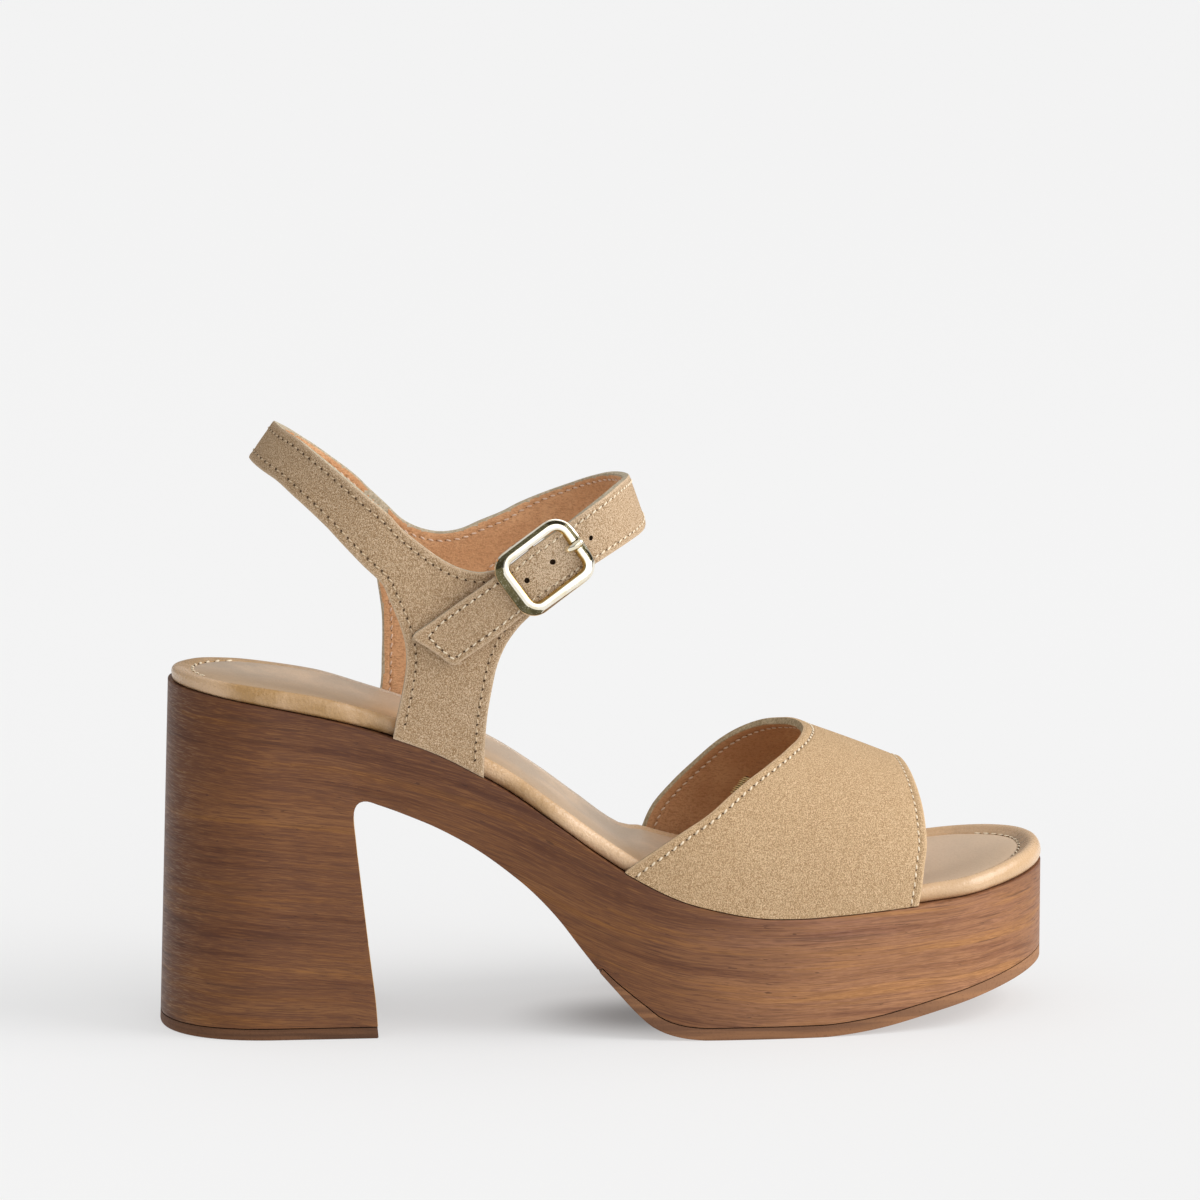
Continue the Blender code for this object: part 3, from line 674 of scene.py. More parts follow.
@dataclass(frozen=True)
class WoodLook:
    """Moulded sole with a printed wood look: soft long streaks, hair lines and short pores."""

    name: str = "wood_look_varnish"
    deep: Colour = (0.05, 0.02, 0.013)
    dark: Colour = (0.112, 0.045, 0.024)
    middle: Colour = (0.168, 0.0655, 0.026)
    light: Colour = (0.248, 0.108, 0.039)
    golden: Colour = (1.17, 1.16, 0.93)
    dull: Colour = (0.76, 0.71, 0.73)
    shaded: Colour = (0.112, 0.0415, 0.0185)
    toe: Colour = (0.49, 0.238, 0.12)
    mauve: Colour = (0.34, 0.165, 0.12)
    worn_and_lit: Colour = (0.56, 0.33, 0.12)
    dust: Colour = (0.24, 0.17, 0.125)
    rub: float = 0.0

    def make(self) -> bpy.types.Material:
        """Builds the material.

        Returns:
            Finished material.
        """
        graph = Graph(bpy.data.materials.new(self.name))
        place = graph.attribute("grain", "Vector")
        sway = graph.noise(graph.stretch(place, (10.0, 10.0, 26.0)), 1.0, 2.0)
        shift = graph.add("ShaderNodeCombineXYZ", None, {"Z": (sway - 0.5) * 0.006})
        grain = graph.add("ShaderNodeVectorMath", {"operation": "ADD"}, {0: place, 1: shift})
        band = graph.noise(graph.stretch(grain, (9.0, 14.0, 75.0)), 1.0, 3.0, 0.55)
        streak = graph.noise(graph.stretch(grain, (16.0, 30.0, 620.0)), 1.0, 4.0, 0.65)
        hair = graph.noise(graph.stretch(grain, (60.0, 90.0, 2600.0)), 1.0, 2.0, 0.6)
        fibre = graph.noise(graph.stretch(grain, (190.0, 240.0, 4200.0)), 1.0, 2.0, 0.6)
        pore = graph.noise(graph.stretch(grain, (210.0, 260.0, 1500.0)), 1.0, 2.0, 0.5)
        glow = graph.noise(graph.stretch(grain, (13.0, 20.0, 120.0)), 1.0, 3.0, 0.6)
        tone = band * 0.35 + streak * 0.35 + hair * 0.3
        colour = graph.ramp(tone, ((0.36, self.dark), (0.5, self.middle), (0.64, self.light)))
        vein = graph.noise(graph.stretch(grain, (11.0, 16.0, 330.0)), 1.0, 3.0, 0.6)
        colour = graph.blend(glow.span(0.52, 0.68, 0.0, 0.7), colour, self.light)
        along = graph.add("ShaderNodeSeparateXYZ", None, {0: place}, out="X")
        # Lighter towards the toe: partly the print's own lighter tone, partly painted light from
        # the right.
        front = along.span(0.145, 0.215, 0.0, 0.9) * tone.span(0.34, 0.58, 0.62, 1.0)
        ahead = along.span(0.145, 0.215)
        colour = graph.blend(front * along.span(0.245, 0.285, 1.0, 0.68), colour, self.toe)
        colour = graph.blend(ahead * band.span(0.5, 0.66, 0.0, 0.6), colour, self.mauve)
        shade = (
            graph.attribute("below").span(0.0, 0.024, 0.9, 0.0) * along.span(0.13, 0.22, 1.0, 0.2)
        )
        colour = graph.blend(shade, colour, self.shaded)
        # Painted shade: darker at the heel's back end, which turns away from the light.
        heel = along.span(0.0, 0.035)
        colour = graph.blend(heel.span(0.0, 1.0, 0.5, 0.0), colour, self.dark)
        colour = graph.blend(
            hair.span(0.5, 0.62, 0.0, 0.62) * (1.0 - ahead * 0.25), colour, self.dark
        )
        colour = graph.blend(hair.span(0.36, 0.48, 0.4, 0.0), colour, self.light)
        colour = graph.blend(
            fibre.span(0.5, 0.62, 0.0, 0.6) * (1.0 - ahead * 0.45), colour, self.dark
        )
        colour = graph.blend(fibre.span(0.36, 0.48, 0.5, 0.0), colour, self.light)
        colour = graph.blend(
            fibre.span(0.36, 0.46, 0.6, 0.0) * heel.span(0.0, 1.0, 1.0, 0.0), colour, self.dust
        )
        colour = graph.blend(streak.span(0.56, 0.68, 0.0, 0.42), colour, self.deep)
        colour = graph.blend(vein.span(0.52, 0.66), colour, self.golden, "MULTIPLY")
        colour = graph.blend(vein.span(0.34, 0.48, 1.0, 0.0), colour, self.dull, "MULTIPLY")
        pit = pore.span(0.7, 0.76)
        colour = graph.blend(pit * 0.6, colour, self.deep)
        # Edge wear with a painted highlight: a golden line along the heel's breast.
        if self.rub > 0.0:
            colour = graph.blend(sway.span(0.35, 0.6, 0.6 * self.rub, self.rub), colour, self.worn_and_lit)
        height = hair * 0.35 + fibre * 0.25 + streak * 0.3 - pit * 0.8
        return graph.surface({
            "Base Color": colour,
            "Roughness": hair.span(0.3, 0.7, 0.4, 0.52),
            "Specular IOR Level": 0.22,
            "Normal": graph.bump(height, 0.0002, 0.5),
        })


@dataclass(frozen=True)
class Rubber:
    """Brown outsole rubber with a fine moulded texture."""

    name: str
    base: Colour
    dark: Colour
    toe: Colour

    def make(self) -> bpy.types.Material:
        """Builds the material.

        Returns:
            Finished material.
        """
        graph = Graph(bpy.data.materials.new(self.name))
        place = graph.object_place()
        along = graph.add("ShaderNodeSeparateXYZ", None, {0: place}, out="X")
        streak = graph.noise(graph.stretch(place, (22.0, 22.0, 500.0)), 1.0, 4.0)
        grit = graph.noise(place, 1400.0, 3.0)
        colour = graph.blend(streak.span(0.4, 0.64), self.dark, self.base)
        # Painted light: the tread is lighter towards the toe, against the shade there.
        colour = graph.blend(along.span(0.05, 0.11, 0.0, 0.4), colour, self.toe)
        colour = graph.blend(grit.span(0.56, 0.72, 0.0, 0.5), colour, self.dark)
        return graph.surface({
            "Base Color": colour,
            "Roughness": grit.span(0.3, 0.7, 0.58, 0.72),
            "Specular IOR Level": 0.3,
            "Normal": graph.bump(grit, 0.0002, 0.5),
        })


@dataclass(frozen=True)
class Gold:
    """Polished pale gold plate with faint hairlines."""

    name: str
    base: Colour
    warm: Colour
    speck: float = 0.0
    painted_highlight: Colour = (0.95, 0.88, 0.70)

    def make(self) -> bpy.types.Material:
        """Builds the material.

        Returns:
            Finished material.
        """
        graph = Graph(bpy.data.materials.new(self.name))
        place = graph.object_place()
        cloud = graph.noise(place, 260.0, 3.0)
        grit = graph.noise(place, 3400.0, 2.0)
        hair = graph.noise(graph.stretch(place, (300.0, 2600.0, 2600.0)), 1.0, 3.0)
        colour = graph.blend(cloud.span(0.4, 0.68), self.base, self.warm)
        # Painted glints: bright specks, used on the darker copies.
        colour = graph.blend(grit.span(0.58, 0.66, 0.0, self.speck), colour, self.painted_highlight)
        return graph.surface({
            "Base Color": colour,
            "Metallic": 1.0,
            "Roughness": hair.span(0.3, 0.75, 0.06, 0.14),
            "Normal": graph.bump(hair, 0.00001, 0.3),
        })


@dataclass(frozen=True)
class Thread:
    """Waxed thread with a twisted lay."""

    name: str
    base: Colour
    dark: Colour

    def make(self) -> bpy.types.Material:
        """Builds the material.

        Returns:
            Finished material.
        """
        graph = Graph(bpy.data.materials.new(self.name))
        place = graph.object_place()
        twist = graph.noise(graph.stretch(place, (2200.0, 2200.0, 1500.0)), 1.0, 2.0)
        tone = graph.noise(place, 160.0, 2.0)
        colour = graph.blend(twist.span(0.42, 0.62, 0.0, 0.5), self.base, self.dark)
        colour = graph.blend(tone.span(0.5, 0.7, 0.0, 0.4), colour, self.dark)
        return graph.surface({
            "Base Color": colour,
            "Roughness": 0.7,
            "Specular IOR Level": 0.25,
            "Normal": graph.bump(twist, 0.00015, 0.6),
        })


@dataclass(frozen=True)
class NeedleHole:
    """Shaded mouth of a needle hole in leather."""

    name: str = "needle_hole_mouth"
    base: Colour = (0.06, 0.036, 0.022)

    def make(self) -> bpy.types.Material:
        """Builds the material.

        Returns:
            Finished material.
        """
        graph = Graph(bpy.data.materials.new(self.name))
        fine = graph.noise(graph.object_place(), 2600.0, 2.0)
        colour = graph.blend(fine.span(0.35, 0.7), self.base, (0.11, 0.064, 0.036))
        return graph.surface({"Base Color": colour, "Roughness": 0.95, "Specular IOR Level": 0.1})


@dataclass(frozen=True)
class PaleFloor:
    """Even pale studio floor that glows faintly, so that shadows stay light."""

    name: str = "pale_floor"
    base: Colour = (0.37, 0.37, 0.37)
    glow: float = 0.651
    even: float = 0.408
    lamp: Colour = (1.014, -0.338, 0.741)
    painted_shadow_spot: Colour = (0.012, -0.01, 0.0)
    painted_shadow_depth: float = 0.33

    def make(self) -> bpy.types.Material:
        """Builds the material: more glow where the lamp is weak, a painted shadow behind the tread.

        Returns:
            Finished material.
        """
        graph = Graph(bpy.data.materials.new(self.name))
        place = graph.object_place()
        tone = graph.noise(place, 3.0, 2.0)
        colour = graph.blend(tone.span(0.4, 0.6, 0.0, 0.02), self.base, (0.4, 0.4, 0.4))
        way = graph.add("ShaderNodeVectorMath", {"operation": "SUBTRACT"}, {0: self.lamp, 1: place})
        far = graph.add("ShaderNodeVectorMath", {"operation": "LENGTH"}, {0: way}, out="Value")
        aim = tuple(Vector(self.lamp).normalized())
        facing = graph.add(
            "ShaderNodeVectorMath", {"operation": "DOT_PRODUCT"}, {0: way, 1: aim}, out="Value"
        )
        painted_shadow_spot = graph.add(
            "ShaderNodeVectorMath", {"operation": "SUBTRACT"}, {0: place, 1: self.painted_shadow_spot}
        )
        painted_shadow_spot = graph.stretch(painted_shadow_spot, (22.0, 31.0, 0.0))
        away = graph.add("ShaderNodeVectorMath", {"operation": "LENGTH"}, {0: painted_shadow_spot}, out="Value")
        # Painted shadow: the glow is dimmed in a patch behind the tread.
        glow = (
            self.glow
            - facing * far**-4.0 * (self.lamp[2] * self.even)
            - away.span(0.1, 1.0, self.painted_shadow_depth, 0.0)
        )
        grey = graph.add("ShaderNodeCombineColor", None, {0: glow, 1: glow, 2: glow})
        return graph.surface({
            "Base Color": colour,
            "Roughness": 1.0,
            "Specular IOR Level": 0.0,
            "Emission Color": grey,
            "Emission Strength": 1.0,
        })


class Slot(Enum):
    """Material slots of the record."""

    WOOD = "wood_look"
    RUBBER = "outsole_rubber"
    BED = "footbed_leather"
    SOCK = "sock_leather"
    SUEDE = "suede"
    GOLD = "pale_gold"


class Finish(Protocol):
    """Anything that makes one material."""

    def make(self) -> bpy.types.Material:
        """Builds the material."""


def made(finish: Finish) -> Any:
    """Field that holds a finish's material."""
    return field(default_factory=finish.make)


@dataclass
class Wardrobe:
    """Every finish, made once."""

    vamp_suede: bpy.types.Material = made(Suede(
        "golden_sand_suede", (0.59, 0.395, 0.224), (0.745, 0.54, 0.335), (0.38, 0.238, 0.12)))
    suede: bpy.types.Material = made(Suede(
        "sand_suede", (0.515, 0.345, 0.196), (0.71, 0.535, 0.368), (0.325, 0.203, 0.104), 0.5))
    vamp_lining: bpy.types.Material = made(Lining(
        "vamp_lining_leather", (0.45, 0.216, 0.096), (0.33, 0.148, 0.06), (0.54, 0.288, 0.14)))
    lining: bpy.types.Material = made(Lining(
        "lining_leather", (0.60, 0.305, 0.143), (0.44, 0.21, 0.09), (0.74, 0.42, 0.22), 0.9))
    vamp_edge: bpy.types.Material = made(CutEdge(
        "vamp_cut_edge", (0.33, 0.25, 0.15), (0.54, 0.43, 0.28)))
    edge: bpy.types.Material = made(CutEdge(
        "cut_edge_leather", (0.42, 0.36, 0.255), (0.62, 0.525, 0.39)))
    bed: bpy.types.Material = made(SmoothLeather(
        "footbed_wrap_leather", (0.415, 0.24, 0.092), (0.315, 0.175, 0.066), (0.645, 0.435, 0.26),
        0.24, 0.7, 0.9, fade=(-0.055, 0.025)))
    # A little greyer than the bed's leather, and paler still: the extra paleness is painted
    # reflection.
    sock: bpy.types.Material = made(SmoothLeather(
        "sock_panel_leather", (0.49, 0.378, 0.275), (0.41, 0.295, 0.195), (0.665, 0.488, 0.335),
        0.34, 0.8))
    wood: bpy.types.Material = made(WoodLook())
    # Worn edge of the heel's breast, with a painted highlight.
    worn_and_lit_wood: bpy.types.Material = made(WoodLook("worn_and_lit_wood_look", rub=0.85))
    rubber: bpy.types.Material = made(Rubber(
        "outsole_brown_rubber", (0.28, 0.13, 0.058), (0.165, 0.075, 0.037), (0.46, 0.235, 0.115)))
    lift_rubber: bpy.types.Material = made(Rubber(
        "heel_brown_rubber", (0.15, 0.064, 0.027), (0.09, 0.038, 0.017), (0.15, 0.064, 0.027)))
    gold: bpy.types.Material = made(Gold(
        "pale_gold_plate", (0.97, 0.92, 0.80), (0.93, 0.84, 0.63)))
    # Darker and warmer copies of the plate: painted reflections, laid on the buckle by the faces'
    # facing.
    painted_dark_reflection_gold: bpy.types.Material = made(Gold(
        "painted_dark_reflection_gold_plate", (0.15, 0.13, 0.06), (0.08, 0.069, 0.032), 0.35))
    shaded_gold: bpy.types.Material = made(Gold(
        "shaded_gold_plate", (0.05, 0.043, 0.019), (0.028, 0.023, 0.01), 0.2))
    painted_warm_reflection_gold: bpy.types.Material = made(Gold(
        "painted_warm_reflection_gold_plate", (0.60, 0.44, 0.17), (0.46, 0.32, 0.11)))
    thread: bpy.types.Material = made(Thread(
        "cream_thread", (0.86, 0.74, 0.56), (0.66, 0.52, 0.35)))
    dull_thread: bpy.types.Material = made(Thread(
        "sand_thread", (0.64, 0.49, 0.325), (0.50, 0.365, 0.225)))
    lining_thread: bpy.types.Material = made(Thread(
        "blush_thread", (0.74, 0.55, 0.42), (0.56, 0.38, 0.265)))
    tack: bpy.types.Material = made(Thread(
        "straw_thread", (0.95, 0.83, 0.44), (0.62, 0.5, 0.2)))
    brown_thread: bpy.types.Material = made(Thread(
        "brown_thread", (0.70, 0.54, 0.40), (0.53, 0.37, 0.25)))
    hole: bpy.types.Material = made(NeedleHole())


def finish_piece(
    name: str,
    work: bmesh.types.BMesh,
    finishes: Sequence[bpy.types.Material],
    nodes: Iterable[str] = (),
    sharp: float = 40.0,
    values: dict[str, list] | None = None,
) -> bpy.types.Object:
    """Turns finished work into a piece of the shoe.

    Args:
        name: Name of the piece.
        work: Mesh in millimetres; it is freed.
        finishes: Materials in the order of the faces' material numbers.
        nodes: CAD nodes that the piece stands for.
        sharp: Angle in degrees above which an edge stays crisp.
        values: Attributes by name, one number or vector a vertex.

    Returns:
        Object that rides on the shoe.
    """
    bmesh.ops.recalc_face_normals(work, faces=work.faces)
    if work.calc_volume(signed=True) < 0.0:
        bmesh.ops.reverse_faces(work, faces=work.faces)
    bmesh.ops.translate(work, vec=SHIFT, verts=work.verts)
    bmesh.ops.scale(work, vec=(MM, MM, MM), verts=work.verts)
    mesh = bpy.data.meshes.new(name)
    work.to_mesh(mesh)
    work.free()
    for key, numbers in (values or {}).items():
        flat = isinstance(numbers[0], (int, float))
        layer = mesh.attributes.new(key, "FLOAT" if flat else "FLOAT_VECTOR", "POINT")
        spread = numbers if flat else [part for vector in numbers for part in vector]
        layer.data.foreach_set("value" if flat else "vector", spread)
    for finish in finishes:
        mesh.materials.append(finish)
    mesh.polygons.foreach_set("use_smooth", [True] * len(mesh.polygons))
    mesh.set_sharp_from_angle(angle=math.radians(sharp))
    piece = bpy.data.objects.new(name, mesh)
    bpy.context.scene.collection.objects.link(piece)
    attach(piece, "root")
    if nodes:
        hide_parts(*nodes)
    LOG.info("%s: %d faces", name, len(mesh.polygons))
    return piece


def cut_grid(work: bmesh.types.BMesh, places: Iterable[float], axis: int) -> None:
    """Cuts flat work along lines square to one axis.

    Args:
        work: Mesh that is cut.
        places: Places of the lines.
        axis: 0 to cut square to X, 1 to cut square to Y, 2 to cut square to Z.
    """
    across = [0.0, 0.0, 0.0]
    across[axis] = 1.0
    for at in places:
        spot = [0.0, 0.0, 0.0]
        spot[axis] = at
        everything = work.verts[:] + work.edges[:] + work.faces[:]
        bmesh.ops.bisect_plane(work, geom=everything, dist=0.0005, plane_co=spot, plane_no=across)


def raise_slab(work: bmesh.types.BMesh, height: float) -> None:
    """Gives a flat sheet a thickness.

    Args:
        work: Sheet at height 0.
        height: Height of its upper side.
    """
    grown = bmesh.ops.extrude_face_region(work, geom=work.faces[:])
    lifted = [item for item in grown["geom"] if isinstance(item, bmesh.types.BMVert)]
    bmesh.ops.translate(work, vec=(0.0, 0.0, height), verts=lifted)


def settle(work: bmesh.types.BMesh) -> bmesh.types.BMesh:
    """Puts a mesh in the order of its places, so that every run welds and rounds it alike.

    Args:
        work: Mesh in millimetres; it is freed.

    Returns:
        Same mesh, with its vertices, faces and each face's first corner in a fixed order.
    """
    spots = sorted(work.verts, key=lambda vert: [round(part, 3) for part in vert.co])
    rank = {vert: i for i, vert in enumerate(spots)}
    rings = []
    for face in work.faces:
        ring = [rank[vert] for vert in face.verts]
        first = ring.index(min(ring))
        rings.append(ring[first:] + ring[:first])
    ordered = bmesh.new()
    verts = [ordered.verts.new(vert.co) for vert in spots]
    for ring in sorted(rings):
        ordered.faces.new([verts[i] for i in ring])
    work.free()
    return ordered


def boolean(
    work: bmesh.types.BMesh, tool: bmesh.types.BMesh, cut: Cut, settled: bool = False
) -> bmesh.types.BMesh:
    """Runs one exact Boolean between two closed meshes.

    Args:
        work: Mesh that is changed; it is freed.
        tool: Mesh that changes it; it is freed.
        cut: What the tool does to the work.
        settled: Whether the result is put in a fixed order before it is welded.

    Returns:
        New mesh.
    """
    bodies = []
    for part in (work, tool):
        bmesh.ops.recalc_face_normals(part, faces=part.faces)
        mesh = bpy.data.meshes.new("step")
        part.to_mesh(mesh)
        part.free()
        bodies.append(bpy.data.objects.new("step", mesh))
        bpy.context.scene.collection.objects.link(bodies[-1])
    step = bodies[0].modifiers.new("step", "BOOLEAN")
    step.operation = cut.value
    step.solver = "EXACT"
    step.object = bodies[1]
    graph = bpy.context.evaluated_depsgraph_get()
    made = bmesh.new()
    result = bodies[0].evaluated_get(graph).to_mesh()
    made.from_mesh(result)
    bodies[0].evaluated_get(graph).to_mesh_clear()
    for body in bodies:
        mesh = body.data
        bpy.data.objects.remove(body, do_unlink=True)
        bpy.data.meshes.remove(mesh)
    made = settle(made) if settled else made
    bmesh.ops.remove_doubles(made, verts=made.verts, dist=0.02)
    return made


def join(work: bmesh.types.BMesh, part: bmesh.types.BMesh) -> None:
    """Adds one mesh to another.

    Args:
        work: Mesh that grows.
        part: Mesh that is added and freed.
    """
    mesh = bpy.data.meshes.new("part")
    part.to_mesh(mesh)
    part.free()
    work.from_mesh(mesh)
    bpy.data.meshes.remove(mesh)


def near_line(spot: Vector, line: Sequence[tuple[float, float]], room: float) -> bool:
    """Whether a place lies on a line of the side view.

    Args:
        spot: Point in the shoe's axes.
        line: Points as place and height.
        room: Distance that still counts.

    Returns:
        True where the line passes within that distance.
    """
    flat = Vector((spot.x, spot.z))
    for start, end in zip(line, line[1:]):
        a, step = Vector(start), Vector(end) - Vector(start)
        share = min(max((flat - a).dot(step) / step.length_squared, 0.0), 1.0)
        if (a + step * share - flat).length < room:
            return True
    return False


def round_edges(
    work: bmesh.types.BMesh,
    angle: float,
    offset: float,
    joints: Sequence[Sequence[tuple[float, float]]],
) -> None:
    """Rounds every edge that is sharper than an angle, except where the piece meets another.

    Args:
        work: Closed mesh.
        angle: Angle in degrees between the faces.
        offset: Width of the rounding on each face.
        joints: Lines of the side view on which the piece meets another.
    """
    limit = math.radians(angle)
    kept = {v for v in work.verts if any(near_line(v.co, line, 0.25) for line in joints)}
    edges = [e for e in work.edges if len(e.link_faces) == 2 and e.calc_face_angle(0.0) > limit]
    edges = [e for e in edges if not (e.verts[0] in kept and e.verts[1] in kept)]
    bmesh.ops.bevel(
        work, geom=edges, offset=offset, offset_type="OFFSET", affect="EDGES", segments=3,
        profile=0.5, material=-1, clamp_overlap=True, loop_slide=True,
    )


def sweep(
    path: Sequence[Vector], radius: float, sides: int, tips: float = 1.0
) -> bmesh.types.BMesh:
    """Round rod along a path.

    Args:
        path: Points of its middle line.
        radius: Radius of the rod.
        sides: Faces round it.
        tips: Share of the radius at both ends.

    Returns:
        Closed mesh.
    """
    work = bmesh.new()
    ring: list[bmesh.types.BMVert] = []
    for i, point in enumerate(path):
        ahead = (path[min(i + 1, len(path) - 1)] - path[max(i - 1, 0)]).normalized()
        wide = radius * (tips if i in (0, len(path) - 1) else 1.0)
        turn = (
            Matrix.Translation(point)
            @ ahead.to_track_quat("Z", "Y").to_matrix().to_4x4()
            @ Matrix.Scale(wide, 4)
        )
        if not ring:
            first = bmesh.ops.create_circle(
                work, cap_ends=False, segments=sides, radius=1.0, matrix=turn
            )
            ring = first["verts"]
            back = turn.inverted()
            continue
        edges = [e for e in work.edges if e.verts[0] in ring and e.verts[1] in ring]
        grown = bmesh.ops.extrude_edge_only(work, edges=edges)
        ring = [item for item in grown["geom"] if isinstance(item, bmesh.types.BMVert)]
        bmesh.ops.transform(work, matrix=turn @ back, verts=ring)
        back = turn.inverted()
    bmesh.ops.holes_fill(work, edges=[e for e in work.edges if e.is_boundary], sides=0)
    return work


@dataclass
class PlatformSole:
    """Platform with its heel, the forefoot outsole and the heel's top piece."""

    tread: Table = Table((
        (-4.3, 18.2), (0.3, 13.0), (4.9, 7.9), (9.6, 3.7), (15.8, 1.1), (24.0, 0.0), (34.0, 0.0),
        (45.0, 0.0), (56.0, 0.0), (66.0, 0.9), (75.0, 2.4), (92.0, 6.3), (110.0, 10.3),
        (118.0, 12.2), (130.0, 15.2),
    ))
    waist: Rows = (
        (-4.9, 19.1), (-9.6, 25.2), (-14.8, 32.1), (-20.0, 37.9), (-25.4, 42.9), (-36.0, 50.9),
        (-46.6, 57.0), (-57.2, 61.6), (-62.8, 63.7), (-66.3, 64.8), (-68.5, 64.1), (-69.5, 61.6),
        (-69.0, 54.4), (-67.8, 43.5), (-66.5, 32.0), (-65.1, 20.0), (-63.9, 10.0), (-63.2, 0.0),
    )
    flat: tuple[float, float] = (24.0, 56.0)
    outsole: float = 3.2
    skive: float = 1.2
    outsole_back: float = -4.3
    outsole_full: float = 8.0
    top_piece: float = 3.0
    flare_back: float = 2.6
    tuck_back: float = 0.7
    flare_side: float = 0.06
    steps: int = 110
    edge_round: float = 0.45
    merge: float = 0.12
    rear: float = -126.5
    front: float = 128.0
    seat_step: float = 2.0
    seat_count: int = 129
    tread_steps: int = 76
    waist_steps: int = 140
    room: float = 140.0
    sunk: float = -20.0
    sharp: float = 38.0
    lip: float = 0.35
    heel_high: float = 92.0
    heel_from: float = -70.0
    breast_box: tuple[float, float, float] = (-71.0, -62.0, 61.0)
    wear_and_light_in: float = 0.2
    wear_and_light_room: float = 0.36
    grain_steps: int = 160
    grain_long: float = 300.0

    def tread_line(self, offset: Callable[[float], float]) -> list[tuple[float, float]]:
        """Points at a distance above the forefoot's underside.

        Args:
            offset: Distance at a place along the shoe.

        Returns:
            Points as place and height.
        """
        points = []
        for i in range(self.tread_steps + 1):
            x = self.outsole_back + (self.front - self.outsole_back) * i / self.tread_steps
            level = self.flat[0] <= x <= self.flat[1]
            rise = 0.0 if level else (self.tread.at(x + 0.2) - self.tread.at(x - 0.2)) / 0.4
            low = 0.0 if level else self.tread.at(x)
            unit = math.hypot(1.0, rise)
            points.append((x - offset(x) * rise / unit, low + offset(x) / unit))
        return points

    def thickness(self, x: float) -> float:
        """Outsole's thickness, skived towards its back."""
        return (
            self.skive + (self.outsole - self.skive) * ease(self.outsole_back, self.outsole_full, x)
        )

    def waist_line(self) -> list[tuple[float, float]]:
        """Underside of the waist and the heel's breast as a smooth line.

        Returns:
            Points as place and height.
        """
        run = [0.0]
        for a, b in zip(self.waist, self.waist[1:]):
            run.append(run[-1] + math.dist(a, b))
        xs = Table(tuple((s, p[0]) for s, p in zip(run, self.waist)))
        zs = Table(tuple((s, p[1]) for s, p in zip(run, self.waist)))
        spots = [run[-1] * i / self.waist_steps for i in range(self.waist_steps + 1)]
        points = [(xs.at(s), zs.at(s)) for s in spots]
        floor = self.top_piece + GAP
        kept = [p for p in points if p[1] > floor + 1.0]
        return kept + [(self.waist[-1][0] - 0.2, floor)]

    def slab(self, outline: Sequence[tuple[float, float]]) -> bmesh.types.BMesh:
        """Side outline carried across the width of the shoe.

        Args:
            outline: Points as place and height.

        Returns:
            Closed mesh.
        """
        work = bmesh.new()
        work.faces.new([work.verts.new((x, z, 0.0)) for x, z in outline])
        raise_slab(work, self.room)
        turn = (
            Matrix.Translation((0.0, self.room / 2.0, 0.0)) @ Matrix.Rotation(math.pi / 2.0, 4, "X")
        )
        bmesh.ops.transform(work, matrix=turn, verts=work.verts)
        return work

    def shape(
        self, outline: Sequence[tuple[float, float]], joints: Sequence[
            Sequence[tuple[float, float]]
        ]
    ) -> bmesh.types.BMesh:
        """Side outline cut to the plan, flared round the heel and with rounded edges.

        Args:
            outline: Points as place and height.
            joints: Lines of the outline on which the piece meets another.

        Returns:
            Closed mesh.
        """
        prism = bmesh.new()
        prism.faces.new([prism.verts.new((p.x, p.y, self.sunk)) for p in LAST.loop(self.steps)])
        raise_slab(prism, self.room)
        work = boolean(self.slab(outline), prism, Cut.INTERSECT, settled=True)
        bmesh.ops.remove_doubles(work, verts=work.verts, dist=self.merge)
        bmesh.ops.dissolve_degenerate(work, edges=work.edges, dist=self.merge)
        round_edges(work, self.sharp, self.edge_round, joints)
        for vert in work.verts:
            lip = (
                ease(3.5, 0.4, LAST.seat.at(vert.co.x) - vert.co.z)
                * (1.0 - ease(-117.0, -108.0, vert.co.x))
            )
            back, fall = (
                ease(self.heel_from, LAST.back, vert.co.x), 1.0 - vert.co.z / self.heel_high
            )
            vert.co.x -= self.flare(vert.co.x, vert.co.z) + self.lip * lip
            vert.co.y *= 1.0 + self.flare_side * back * fall
        return work

    def flare(self, x: float, z: float) -> float:
        """Distance by which the heel's back stands out at a place and height."""
        fall = 1.0 - z / self.heel_high
        return (
            ease(self.heel_from, LAST.back, x)
            * (self.flare_back * fall - self.tuck_back * (1.0 - fall))
        )

    def grain(self, work: bmesh.types.BMesh) -> list[Vector]:
        """Coordinates along the wood's grain, in metres.

        Args:
            work: Mesh in millimetres.

        Returns:
            Length round the sole, place across it and depth square to the grain, for each vertex.
        """
        places = LAST.stations(self.grain_steps)
        tables = []
        for column in Side:
            run = [0.0]
            for a, b in zip(places, places[1:]):
                run.append(run[-1] + math.hypot(b - a, LAST.side(b, column) - LAST.side(a, column)))
            tables.append([s * self.grain_long / run[-1] for s in run])
        made = []
        for vert in work.verts:
            x, y, z = vert.co
            x += self.flare(x + self.flare(x, z), z)
            i = min(max(bisect.bisect_right(places, x) - 1, 0), len(places) - 2)
            t = min(max((x - places[i]) / (places[i + 1] - places[i]), 0.0), 1.0)
            run = tables[0] if y < LAST.tip_y * ease(60.0, LAST.tip, x) else tables[1]
            length = run[i] + (run[i + 1] - run[i]) * t
            seat = LAST.seat.at(x)
            level = 0.5 * ease(-45.0, -75.0, x) * ease(85.0, 20.0, z) * (seat - 90.7)
            made.append(Vector((length, y, z - 0.65 * seat + level)) * MM)
        return made

